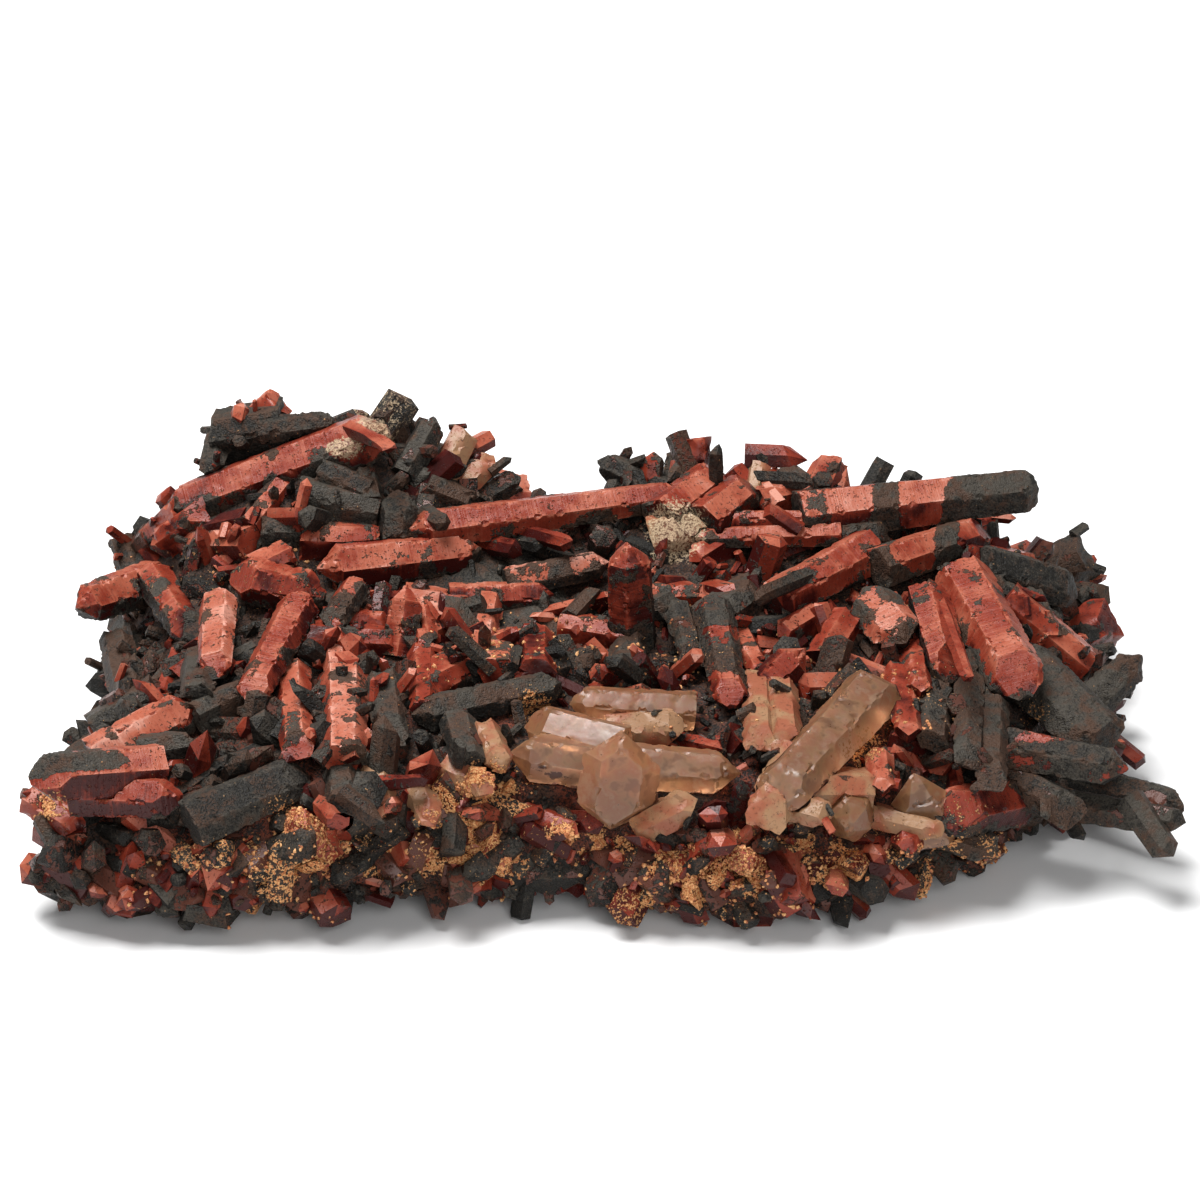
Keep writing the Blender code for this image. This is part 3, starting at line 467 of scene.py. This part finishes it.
def rust_material():
    """Grains of rust, ochre and brown."""
    made, graph, shader = new_material("rusty_grains")
    place = graph.place()
    fine = graph.noise(place, 0.7, 3.0, 0.7)
    medium = graph.noise(place, 4.0, 2.0)
    colour = graph.mix(graph.step(medium + (fine - 0.5) * 0.9, 0.4, 0.66), RUST_ORANGE, RUST_YELLOW)
    colour = graph.mix(graph.step(fine + (medium - 0.5) * 0.6, 0.46, 0.34), colour, CRUST_RED)
    bump = graph.node("ShaderNodeBump", values={
        "Strength": 0.8, "Distance": 0.25 * MM, "Height": fine})
    feed(graph, shader, {"Base Color": colour, "Roughness": fine * 0.3 + 0.55, "Normal": bump})
    return made


def floor_material():
    """A plain pale floor."""
    made, _, shader = new_material("pale_floor")
    shader.inputs["Base Color"].default_value = FLOOR_GREY
    shader.inputs["Roughness"].default_value = 0.9
    return made


# Places and fields on the specimen, in millimetres

def picture_places(points):
    """u and v of places, as the viewer sees them."""
    away = points - VIEWER
    depth = -(away @ TO_VIEWER)
    u = (away @ RIGHT) * VIEW_DISTANCE / depth
    v = (away @ UPWARD) * VIEW_DISTANCE / depth + AIM_V
    return u, v


def view_ray(u, v):
    """The direction from the viewer to a place in the picture plane."""
    place = AIM + u * RIGHT + (v - AIM_V) * UPWARD
    direction = place - VIEWER
    return direction / np.linalg.norm(direction)


def lumps(points, size, seed=0.0):
    """Smooth noise from about -1 to 1 at each place, with lumps of a given size."""
    shift = Vector((seed * 7.3, seed * 3.1 + 11.0, seed * 5.7 - 4.0))
    return np.array([noise.noise(Vector(point) / size + shift) for point in points]) * 1.5


def pitted(points, size, radius):
    """How deep each place lies in a round pit, from 0 to 1."""
    gaps = np.array([noise.voronoi(Vector(point) / size)[0][0] for point in points]) * size
    return np.clip(1 - gaps / radius, 0, 1)


def spots(u, v, rows):
    """The sum of soft round spots at places in the picture plane."""
    total = np.zeros(len(u))
    for middle_u, middle_v, half_u, half_v, *strength in rows:
        away = ((u - middle_u) / half_u) ** 2 + ((v - middle_v) / half_v) ** 2
        total += (strength[0] if strength else 1.0) * np.exp(-0.7 * away ** 2)
    return total


def smooth(value, low, high):
    """A smooth rise from 0 to 1 while a value goes from low to high."""
    share = np.clip((value - low) / (high - low), 0, 1)
    return share * share * (3 - 2 * share)


def distances(tree, points):
    """How far each place is from a surface, in millimetres."""
    return np.array([tree.find_nearest(Vector(point) * MM)[3] for point in points]) / MM


# Meshes

def tree_of(nodes):
    """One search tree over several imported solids."""
    places = []
    faces = []
    for node in nodes:
        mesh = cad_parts[node].data
        start = len(places)
        places += [vertex.co.copy() for vertex in mesh.vertices]
        faces += [[start + corner for corner in face.vertices] for face in mesh.polygons]
    return BVHTree.FromPolygons(places, faces)


def merged(node):
    """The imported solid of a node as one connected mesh."""
    form = bmesh.new()
    form.from_mesh(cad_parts[node].data)
    bmesh.ops.remove_doubles(form, verts=form.verts, dist=0.003 * MM)
    form.normal_update()
    form.faces.ensure_lookup_table()
    return form


def cut_edges(form, size):
    """Put vertices along every edge so that no stretch is longer than size."""
    for edge in list(form.edges):
        count = math.ceil(edge.calc_length() / (size * MM))
        start = edge.verts[0]
        for left in range(count, 1, -1):
            edge, start = bmesh.utils.edge_split(edge, start, 1 / left)
            edge = next(other for other in start.link_edges if other != edge)


def lattice(outline, size, chance):
    """Unevenly spaced places inside a flat outline, clear of its edges."""
    low = outline.min(axis=0)
    high = outline.max(axis=0)
    rows = np.arange(low[1] + size * 0.5, high[1], size * 0.87)
    columns = np.arange(low[0] + size * 0.5, high[0], size)
    if not len(rows) or not len(columns):
        return np.zeros((0, 2))
    x, y = np.meshgrid(columns, rows)
    x[1::2] += size * 0.5
    places = np.stack([x.ravel(), y.ravel()], axis=1)
    places += chance.uniform(-0.18, 0.18, places.shape) * size
    after = np.roll(outline, -1, axis=0)
    inside = np.zeros(len(places), dtype=bool)
    nearest = np.full(len(places), math.inf)
    for first, second in zip(outline, after):
        span = second - first
        away = places - first
        share = np.clip(away @ span / max(span @ span, 1e-12), 0, 1)
        gap = np.linalg.norm(away - share[:, None] * span, axis=1)
        nearest = np.minimum(nearest, gap)
        if first[1] != second[1]:
            crosses = (first[1] > places[:, 1]) != (second[1] > places[:, 1])
            meets = first[0] + (places[:, 1] - first[1]) * span[0] / span[1]
            inside ^= crosses & (places[:, 0] < meets)
    return places[inside & (nearest > 0.45 * size)]


def even_skin(form, name, size):
    """A mesh of even triangles that keeps a form's edges, and the facet each lies on."""
    bmesh.ops.dissolve_limit(form, angle_limit=FLAT_ANGLE, verts=form.verts, edges=form.edges)
    cut_edges(form, size)
    form.verts.index_update()
    form.faces.index_update()
    places = [np.array(vertex.co) / MM for vertex in form.verts]
    triangles = []
    facets = []
    chance = np.random.default_rng(SKIN_SEED)
    for face in form.faces:
        corners = [vertex.index for vertex in face.verts]
        normal = np.array(face.normal)
        first = np.array(face.verts[1].co - face.verts[0].co)
        first = first - normal * (first @ normal)
        first /= max(np.linalg.norm(first), 1e-12)
        second = np.cross(normal, first)
        origin = places[corners[0]]
        outline = np.array([[(places[c] - origin) @ first, (places[c] - origin) @ second]
                            for c in corners])
        inner = lattice(outline, size, chance)
        flat = [Vector(place) for place in outline] + [Vector(place) for place in inner]
        # Kind 1 of the result holds only the triangles inside the outline
        result = delaunay_2d_cdt(flat, [], [list(range(len(corners)))], 1, 1e-6)
        known = corners + list(range(len(places), len(places) + len(inner)))
        places += [origin + x * first + y * second for x, y in inner]
        names = []
        for place, olds in zip(result[0], result[3]):
            if not olds:
                olds = [len(known)]
                known.append(len(places))
                places.append(origin + place[0] * first + place[1] * second)
            names.append(known[olds[0]])
        for triangle in result[2]:
            triangles.append([names[corner] for corner in triangle])
            facets.append(face.index)
    mesh = bpy.data.meshes.new(name)
    mesh.from_pydata([Vector(place) * MM for place in places], [], triangles)
    mesh.update()
    return mesh, np.array(facets)


def edge_share(mesh):
    """1 on vertices at a sharp edge of a mesh, 0 elsewhere."""
    form = bmesh.new()
    form.from_mesh(mesh)
    form.verts.index_update()
    share = np.zeros(len(form.verts))
    for edge in form.edges:
        if len(edge.link_faces) == 2 and edge.is_convex and edge.calc_face_angle() > CHIPPING_ANGLE:
            for vertex in edge.verts:
                share[vertex.index] = 1.0
    form.free()
    return share


def set_points(mesh, points):
    """Move a mesh's vertices to places in millimetres."""
    mesh.vertices.foreach_set("co", (points * MM).ravel().astype(np.float32))
    mesh.update()


def get_points(mesh):
    """The places of a mesh's vertices, in millimetres."""
    points = np.zeros(len(mesh.vertices) * 3, dtype=np.float32)
    mesh.vertices.foreach_get("co", points)
    return points.reshape(-1, 3).astype(float) / MM


def get_normals(mesh):
    """The directions that a mesh's vertices face."""
    normals = np.zeros(len(mesh.vertices) * 3, dtype=np.float32)
    mesh.vertex_normals.foreach_get("vector", normals)
    return normals.reshape(-1, 3).astype(float)


def box_limits():
    """The lowest and highest corner that a finished surface may reach, in millimetres."""
    return np.array(CAD_BOX[0]) / MM + BOX_GAP, np.array(CAD_BOX[1]) / MM - BOX_GAP


def inside_box(points):
    """Places kept within the box of the solids."""
    return np.clip(points, *box_limits())


def finished(mesh, material, attributes):
    """An object from a mesh, with its finish and one value per vertex for each attribute."""
    for label, values in attributes.items():
        give(mesh, label, values)
    mesh.materials.clear()
    mesh.materials.append(material)
    mesh.polygons.foreach_set("use_smooth", [True] * len(mesh.polygons))
    mesh.set_sharp_from_angle(angle=SHARP_ANGLE)
    piece = bpy.data.objects.new(mesh.name, mesh)
    bpy.context.scene.collection.objects.link(piece)
    return piece


def give(mesh, label, values, domain="POINT"):
    """Store one value for each vertex of a mesh, or for each face, under a name."""
    layer = mesh.attributes.new(label, "FLOAT", domain)
    layer.data.foreach_set("value", np.asarray(values, dtype=np.float32))


def facet_tones(facets, seed):
    """A tone from -0.5 to 0.5 for each triangle, the same all over a facet."""
    return np.random.default_rng(seed).uniform(-0.5, 0.5, facets.max() + 1)[facets]


def long_axis(points):
    """The direction in which a set of places is longest."""
    spread = points - points.mean(axis=0)
    return np.linalg.eigh(spread.T @ spread)[1][:, -1]


def dress_crystal(node, rock_tree, material):
    """The finished form of one large crystal: lines, pits, chipped edges and raised coat, and painted
    shade where it meets the rock.
    """
    kind = node.split("_")[0]
    form = merged(node)
    axis = long_axis(np.array([vertex.co for vertex in form.verts]))
    mesh, facets = even_skin(form, node + "_finished", CRYSTAL_GRAIN)
    form.free()
    points = get_points(mesh)
    normals = get_normals(mesh)
    edge = edge_share(mesh)
    seed = sum(ord(letter) for letter in node) % 97
    along = points @ axis
    flank = 1 - np.abs(normals @ axis)
    u, v = picture_places(points)

    # Closeness to the rock: there the crystal gets more coat and a darker red, which is painted shade
    # where it meets the rock.
    contact = np.exp(-np.maximum(distances(rock_tree, points) - 0.3, 0) / 1.3)
    coat = COAT[kind] + 0.55 * lumps(points, 7.0, seed) + 0.25 * lumps(points, 2.6, seed)
    coat += spots(u, v, COAT_SPOTS) + 0.5 * contact * (kind != "smoky")
    # More coat on faces that turn sideways and down: darker towards the sides and the underside.
    coat += 0.35 * smooth(-normals[:, 2], 0.1, 0.8) + 0.3 * smooth(0.45 - normals[:, 2], 0, 0.5)
    raised = smooth(coat, -0.1, 0.15)

    lift = 0.05 * lumps(points, 8.0, seed) + 0.04 * lumps(points, 2.0, seed)
    lift += 0.12 * smooth(lumps(points, 6.0, seed + 5), 0.15, 0.25) * flank
    lift += raised * (0.12 + 0.22 * lumps(points, 1.1, seed))
    lift -= 0.35 * pitted(points, 4.2, 0.9) * (1 - 0.6 * raised)
    lift -= edge * 0.7 * smooth(lumps(points, 2.6, seed + 3), 0.1, 0.5)
    set_points(mesh, inside_box(points + normals * lift[:, None]))

    count = len(points)
    attributes = {
        "coat": coat, "along": along, "pale": np.full(count, PALE.get(node, 0.45)),
        "red": np.full(count, 0.0 if kind == "coated" else 1.0),
        "rust": np.clip(spots(u, v, RUST_SPOTS), 0, 1) * 0.65, "dark": contact, "edge": edge,
        "tan": spots(u, v, TAN_SPOTS) * (normals @ TO_VIEWER > 0),
    }
    give(mesh, "facet", facet_tones(facets, seed), "FACE")
    piece = finished(mesh, material, attributes)
    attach(piece, "root")
    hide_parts(node)


def label_parts(form, hero_tree):
    """Number the plate's faces by the crystal they belong to; 0 is a socket's wall."""
    part = form.faces.layers.int.new("part")
    form.faces.ensure_lookup_table()
    walls = set()
    for face in form.faces:
        gap = hero_tree.find_nearest(face.calc_center_median())[3]
        if gap < SOCKET_REACH * MM:
            walls.add(face)
    number = 0
    for first in form.faces:
        if first[part] or first in walls:
            continue
        number += 1
        first[part] = number
        stack = [first]
        while stack:
            for edge in stack.pop().edges:
                if len(edge.link_faces) != 2:
                    continue
                if not edge.is_convex and edge.calc_face_angle() > CREASE:
                    continue
                for other in edge.link_faces:
                    if not other[part] and other not in walls:
                        other[part] = number
                        stack.append(other)
    return part, number


def part_kinds(form, part, count):
    """The kind of crystal that each numbered part of the plate is."""
    areas = np.zeros(count + 1)
    for face in form.faces:
        areas[face[part]] += face.calc_area() / MM ** 2
    chance = random.Random(KIND_SEED)
    kinds = np.zeros(count + 1, dtype=int)
    for number in range(1, count + 1):
        if SMALLEST_GROWN < areas[number] < LARGEST_GROWN:
            kinds[number] = RED if chance.random() < RED_SHARE else DARK
    tree = BVHTree.FromBMesh(form)
    for kind, places in ((DARK, DARK_PLACES), (SMOKY, SMOKY_PLACES), (RED, RED_PLACES)):
        for u, v in places:
            hit = tree.ray_cast(Vector(VIEWER) * MM, Vector(view_ray(u, v)))
            number = form.faces[hit[2]][part] if hit[2] is not None else 0
            if number and areas[number] < LARGEST_GROWN:
                kinds[number] = kind
    return kinds


def plate_relief(points, edge, gaps, crystal):
    """How far each vertex of the plate moves along its normal, in millimetres."""
    crag = 1.1 * lumps(points, 7.0) + 0.8 * lumps(points, 3.2) + 0.35 * lumps(points, 1.6)
    crag += 0.9 * pitted(points, 6.0, 3.2) - 0.3
    flat = 0.07 * lumps(points, 5.0) + 0.1 * lumps(points, 1.6)
    flat -= edge * 0.7 * smooth(lumps(points, 2.6, 3), 0.1, 0.5)
    lift = np.where(crystal, flat, crag * smooth(gaps, 0.5, 4.0))
    foot_gap = np.min([np.hypot(*(points[:, :2] - foot).T) for foot in FRONT_FEET], axis=0)
    undercut = smooth(17 - points[:, 2], 0, 12) * smooth(points[:, 2], 1, 5)
    undercut *= smooth(-points[:, 1], 30, 50) * smooth(gaps, 1, 5) * smooth(foot_gap, 14, 22)
    lift -= UNDERCUT * undercut * ~crystal
    return lift * smooth(points[:, 2], 0.1, 1.5)


def plate_fields(points, normals, edge, gaps, crystal):
    """What the finish and the growth graph read at each vertex of the plate."""
    u, v = picture_places(points)
    rocky = 1.0 - crystal
    rust = np.clip(spots(u, v, RUST_SPOTS), 0, 1)
    veins = smooth(lumps(points, 4.5, 7) + 0.5 * lumps(points, 1.6, 7), -0.3, 0.25)
    wall = smooth(-normals[:, 1], 0.1, 0.6) * smooth(-points[:, 1], 35, 55) * rocky
    wall *= smooth(points[:, 2], 4, 9) * smooth(gaps, 0.5, 2.5)
    return {
        "coat": 0.55 * lumps(points, 6.0) + 0.25 * lumps(points, 2.4),
        "rust": rust * veins,
        # Darker near the large crystals: painted shade.
        "dark": np.exp(-gaps / 1.5),
        "wall": wall,
        "edge": edge * crystal,
        "tan": spots(u, v, TAN_SPOTS) * (normals @ TO_VIEWER > 0),
        "warm": smooth(-points[:, 1], 25, 50),
        "room": smooth(gaps, 0.8, 2.2) * (0.12 + 0.88 * rocky) * smooth(points[:, 2], 3, 15),
        "reach": np.clip(gaps / 7.0, 0.35, 1.0),
        "red_chance": np.clip(0.16 + 0.5 * spots(u, v, RED_ZONES), 0, 0.75),
        "rust_room": np.clip(rust * 1.3, 0, 1) * veins * smooth(gaps, 0.3, 1.0),
    }


def dress_plate(hero_tree, material):
    """The plate with its grown crystals: rough crust, faces, coats and where things grow."""
    form = merged("matrix")
    part, count = label_parts(form, hero_tree)
    kinds = part_kinds(form, part, count)
    mesh, facets = even_skin(form, "matrix_finished", ROCK_GRAIN)
    own_part = np.array([face[part] for face in form.faces])[facets]
    own_kind = kinds[own_part]
    form.free()
    points = get_points(mesh)
    normals = get_normals(mesh)
    edge = edge_share(mesh)
    gaps = distances(hero_tree, points)
    crystal = np.zeros(len(points), dtype=bool)
    corners = np.array([face.vertices for face in mesh.polygons])
    crystal[corners[own_kind != ROCK].ravel()] = True
    lift = plate_relief(points, edge, gaps, crystal)
    set_points(mesh, inside_box(points + normals * lift[:, None]))

    chance = np.random.default_rng(TONE_SEED).uniform(0, 1, count + 1)[own_part]
    give(mesh, "bias", np.array(GROWN_COAT)[own_kind] + 0.3 * (chance - 0.5), "FACE")
    give(mesh, "red", own_kind == RED, "FACE")
    give(mesh, "smoky", own_kind == SMOKY, "FACE")
    give(mesh, "crust", own_kind == ROCK, "FACE")
    give(mesh, "pale", 0.25 + 0.5 * chance, "FACE")
    give(mesh, "facet", facet_tones(facets, 2), "FACE")
    piece = finished(mesh, material, plate_fields(points, normals, edge, gaps, crystal))
    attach(piece, "root")
    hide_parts("matrix")
    return piece


# Small crystals

def small_prism(form, base, tip, radius, turn, chance, levels=2, blunt=1.0):
    """Add one six-sided prism with an uneven point to a form; places are in millimetres."""
    axis = tip - base
    length = np.linalg.norm(axis)
    axis = axis / length
    helper = np.array([0.0, 0.0, 1.0]) if abs(axis[2]) < 0.9 else np.array([1.0, 0.0, 0.0])
    side = np.cross(axis, helper)
    side /= np.linalg.norm(side)
    other = np.cross(axis, side)
    point_length = min(radius * chance.uniform(0.5, 1.0), length * 0.4) * blunt
    reaches = [radius * chance.uniform(0.82, 1.12) for _ in range(6)]
    drops = [point_length * chance.uniform(0.5, 1.4) for _ in range(6)]
    rings = []
    for level in range(levels):
        share = level / (levels - 1)
        ring = []
        for corner in range(6):
            angle = turn + math.radians(60 * corner)
            reach = reaches[corner] * (1 - 0.06 * share)
            place = base + axis * (share * (length - drops[corner]))
            place = place + (side * math.cos(angle) + other * math.sin(angle)) * reach
            ring.append(form.verts.new(Vector(place) * MM))
        rings.append(ring)
    off = (side * chance.uniform(-1, 1) + other * chance.uniform(-1, 1)) * radius * 0.4
    apex = form.verts.new(Vector(tip + off) * MM)
    for corner in range(6):
        after = (corner + 1) % 6
        for lower, upper in zip(rings, rings[1:]):
            form.faces.new((lower[corner], lower[after], upper[after], upper[corner]))
        form.faces.new((rings[-1][corner], rings[-1][after], apex))
    form.faces.new(tuple(reversed(rings[0])))


def crystal_shapes():
    """A group of small crystals, one unit tall, for the growth graph to choose from."""
    group = bpy.data.collections.new("small_crystal_shapes")
    for number in range(7):
        chance = random.Random(CRYSTAL_SEED + number)
        form = bmesh.new()
        # The root reaches below the surface, so that no crystal hangs in the air
        base = np.array([0.0, 0.0, -0.3]) / MM
        tip = np.array([0.0, 0.0, 1.0]) / MM
        small_prism(form, base, tip, 0.5 / MM, chance.random(), chance,
                    blunt=0.25 if number % 2 else 1.0)
        bmesh.ops.recalc_face_normals(form, faces=form.faces)
        mesh = bpy.data.meshes.new("shape")
        form.to_mesh(mesh)
        form.free()
        group.objects.link(bpy.data.objects.new(f"shape_{number}", mesh))
    return group


def grain_shapes():
    """A group of lumpy grains of unit size."""
    group = bpy.data.collections.new("grain_shapes")
    for number in range(5):
        chance = random.Random(GRAIN_SEED + number)
        form = bmesh.new()
        bmesh.ops.create_icosphere(form, subdivisions=1, radius=0.5)
        for vertex in form.verts:
            vertex.co *= chance.uniform(0.5, 1.3)
        mesh = bpy.data.meshes.new("grain")
        form.to_mesh(mesh)
        form.free()
        group.objects.link(bpy.data.objects.new(f"grain_{number}", mesh))
    return group


GROWTH_INPUTS = {
    "Surface": "NodeSocketGeometry", "Shapes": "NodeSocketCollection",
    "Room": "NodeSocketString", "Density": "NodeSocketFloat", "Shortest": "NodeSocketFloat",
    "Longest": "NodeSocketFloat", "Slimmest": "NodeSocketFloat", "Stoutest": "NodeSocketFloat",
    "Lean": "NodeSocketFloat", "Coat": "NodeSocketFloat", "Seed": "NodeSocketInt",
    "Finish": "NodeSocketMaterial",
}


def growth_graph():
    """Small crystals or grains strewn over a surface, more where it says there is room."""
    tree = bpy.data.node_groups.new("growth", "GeometryNodeTree")
    for name, kind in GROWTH_INPUTS.items():
        tree.interface.new_socket(name, in_out="INPUT", socket_type=kind)
    tree.interface.new_socket("Crystals", in_out="OUTPUT", socket_type="NodeSocketGeometry")
    graph = Graph(tree)
    given = graph.node("NodeGroupInput")

    def named(name):
        return graph.node("GeometryNodeInputNamedAttribute", {"data_type": "FLOAT"},
                          {"Name": name}, output="Attribute")

    def chance(low, high, number):
        return graph.node("FunctionNodeRandomValue", {"data_type": "FLOAT"},
                          {2: low, 3: high, "Seed": given.other("Seed") + number}, output=1)

    room = named(given.other("Room"))
    points = graph.node("GeometryNodeDistributePointsOnFaces", values={
        "Mesh": given.other("Surface"), "Density": given.other("Density") * room,
        "Seed": given.other("Seed")})
    scatter = graph.node("FunctionNodeRandomValue", {"data_type": "FLOAT_VECTOR"}, {
        0: (-1, -1, -1), 1: (1, 1, 1), "Seed": given.other("Seed") + 1})
    lean = graph.node("ShaderNodeVectorMath", {"operation": "SCALE"}, {
        0: scatter, "Scale": given.other("Lean")})
    heading = graph.node("ShaderNodeVectorMath", {"operation": "ADD"}, {
        0: points.other("Normal"), 1: lean})
    spin = graph.node("ShaderNodeCombineXYZ", values={"Z": chance(0.0, 6.28, 2)})
    turned = graph.node("FunctionNodeEulerToRotation", values={"Euler": spin})
    facing = graph.node("FunctionNodeAlignRotationToVector", {"axis": "Z"}, {
        "Rotation": turned, "Vector": heading})
    reach = named("reach")
    length = chance(given.other("Shortest"), given.other("Longest"), 3) * reach
    stout = chance(given.other("Slimmest"), given.other("Stoutest"), 4)
    size = graph.node("ShaderNodeCombineXYZ", values={
        "X": length * stout, "Y": length * stout * chance(0.7, 1.0, 5), "Z": length})
    is_red = graph.math("LESS_THAN", chance(0.0, 1.0, 6), named("red_chance"))
    kept = points
    values = {
        "red": is_red, "pale": chance(-0.1, 0.85, 7), "crust": 0.0, "smoky": 0.0,
        "bias": (0.0 - is_red) * 0.65 + given.other("Coat"), "coat": chance(-0.35, 0.35, 8),
    }
    for name, value in values.items():
        kept = graph.node("GeometryNodeStoreNamedAttribute", {"data_type": "FLOAT"}, {
            "Geometry": kept, "Name": name, "Value": value})
    shapes = graph.node("GeometryNodeCollectionInfo", values={
        "Collection": given.other("Shapes"), "Separate Children": True, "Reset Children": True})
    grown = graph.node("GeometryNodeInstanceOnPoints", values={
        "Points": kept, "Instance": shapes, "Pick Instance": True, "Rotation": facing,
        "Scale": size})
    real = graph.node("GeometryNodeRealizeInstances", values={"Geometry": grown})
    toned = graph.node("GeometryNodeStoreNamedAttribute", {"data_type": "FLOAT", "domain": "FACE"}, {
        "Geometry": real, "Name": "facet", "Value": chance(-0.6, 0.6, 9)})
    painted = graph.node("GeometryNodeSetMaterial", values={
        "Geometry": toned, "Material": given.other("Finish")})
    graph.node("NodeGroupOutput", values={"Crystals": painted})
    return tree


def grow(name, surface, tree, shapes, finish, corners):
    """One plain mesh of what grows on a piece: crystals or grains of so many corners."""
    holder = bpy.data.objects.new(name, surface.data.copy())
    bpy.context.scene.collection.objects.link(holder)
    modifier = holder.modifiers.new("growth", "NODES")
    modifier.node_group = tree
    settings = {**GROWTHS[name], "Shapes": shapes, "Finish": finish}
    for item in tree.interface.items_tree:
        if item.in_out == "INPUT" and item.name in settings:
            modifier[item.identifier] = settings[item.name]
    graph = bpy.context.evaluated_depsgraph_get()
    mesh = bpy.data.meshes.new_from_object(holder.evaluated_get(graph))
    bpy.data.objects.remove(holder)
    mesh.name = name

    # What stands past the solids' box moves back into it whole
    groups = get_points(mesh).reshape(-1, corners, 3)
    low, high = box_limits()
    groups += np.maximum(low - groups.min(axis=1), 0)[:, None]
    groups -= np.maximum(groups.max(axis=1) - high, 0)[:, None]
    set_points(mesh, groups.reshape(-1, 3))
    piece = bpy.data.objects.new(name, mesh)
    bpy.context.scene.collection.objects.link(piece)
    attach(piece, "root")
    return piece


def place_small(name, rows, whole_tree, material, red):
    """Small crystals set one by one where the picture shows them."""
    form = bmesh.new()
    for number, (root, tip, width, rise) in enumerate(rows):
        chance = random.Random(SMALL_SEED + number)
        hit = whole_tree.ray_cast(Vector(VIEWER) * MM, Vector(view_ray(*root)))
        base = np.array(hit[0]) / MM - np.array([0.0, 0.0, 0.5])
        direction = view_ray(*tip)
        end = VIEWER + direction * (base[2] + width * 0.5 + rise - VIEWER[2]) / direction[2]
        base = base - (end - base) * 0.15
        small_prism(form, base, end, width * 0.5, chance.random(), chance, levels=8)
    bmesh.ops.recalc_face_normals(form, faces=form.faces)
    mesh = bpy.data.meshes.new(name)
    form.to_mesh(mesh)
    form.free()
    points = get_points(mesh)
    lift = 0.25 * lumps(points, 3.0) + 0.15 * lumps(points, 1.2)
    set_points(mesh, inside_box(points + get_normals(mesh) * lift[:, None]))
    count = len(points)
    attributes = {
        "coat": (-0.4 if red else 0.6) + 0.5 * lumps(points, 5.0, 2), "red": np.full(count, red),
        "pale": 0.5 + 0.4 * lumps(points, 14.0, 1), "along": points @ np.array([0.6, 0.5, 0.6]),
    }
    piece = finished(mesh, material, attributes)
    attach(piece, "root")


# The studio

def studio():
    """A pale floor under even light and two softboxes."""
    floor_mesh = bpy.data.meshes.new("floor")
    corners = [(x * FLOOR_REACH, y * FLOOR_REACH, 0) for x, y in ((-1, -1), (1, -1), (1, 1), (-1, 1))]
    floor_mesh.from_pydata(corners, [], [(0, 1, 2, 3)])
    floor_mesh.materials.append(floor_material())
    floor = bpy.data.objects.new("floor", floor_mesh)
    bpy.context.scene.collection.objects.link(floor)

    world = bpy.data.worlds.new("studio")
    world.use_nodes = True
    world.node_tree.nodes["Background"].inputs["Color"].default_value = (1, 1, 1, 1)
    world.node_tree.nodes["Background"].inputs["Strength"].default_value = EVEN_LIGHT
    bpy.context.scene.world = world
    for name, (place, size, power) in SOFTBOXES.items():
        lamp(name, place, size, power)
    bpy.context.scene.view_settings.view_transform = "Standard"


def lamp(name, place, size, power):
    """A square softbox that points at the specimen."""
    data = bpy.data.lights.new(name, "AREA")
    data.shape = "SQUARE"
    data.size = size
    data.energy = power
    made = bpy.data.objects.new(name, data)
    made.location = place
    made.rotation_mode = "QUATERNION"
    made.rotation_quaternion = Vector(place).to_track_quat("Z", "Y")
    bpy.context.scene.collection.objects.link(made)


def camera():
    """The viewer's camera, which sees a strip PICTURE_WIDTH wide at the aim."""
    data = bpy.data.cameras.new("camera")
    data.sensor_width = SENSOR_WIDTH
    data.lens = SENSOR_WIDTH * VIEW_DISTANCE / PICTURE_WIDTH
    made = bpy.data.objects.new("camera", data)
    made.location = Vector(VIEWER) * MM
    made.rotation_mode = "QUATERNION"
    made.rotation_quaternion = Vector(TO_VIEWER).to_track_quat("Z", "Y")
    bpy.context.scene.collection.objects.link(made)
    bpy.context.scene.camera = made


def main():
    """The studio, the plate, the large crystals and what grows between them."""
    studio()
    camera()
    mineral = mineral_material()
    smoky = smoky_material()
    rust = rust_material()
    heroes = sorted(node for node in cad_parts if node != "matrix")
    hero_tree = tree_of(heroes)
    rock_tree = tree_of(["matrix"])
    plate = dress_plate(hero_tree, mineral)
    for node in heroes:
        dress_crystal(node, rock_tree, smoky if node.startswith("smoky") else mineral)
    whole_tree = tree_of(heroes + ["matrix"])
    place_small("small_red_crystals", SMALL_RED, whole_tree, mineral, 1.0)
    place_small("small_dark_crystals", SMALL_DARK, whole_tree, mineral, 0.0)

    tree = growth_graph()
    crystals = crystal_shapes()
    grains = grain_shapes()
    wall = grow("front_wall_crystals", plate, tree, crystals, mineral, PRISM_CORNERS)
    grow("crystal_growth_coarse", plate, tree, crystals, mineral, PRISM_CORNERS)
    grow("crystal_growth_fine", plate, tree, crystals, mineral, PRISM_CORNERS)
    grow("rusty_grains", plate, tree, grains, rust, GRAIN_CORNERS)
    grow("rusty_grains_on_crystals", wall, tree, grains, rust, GRAIN_CORNERS)


main()
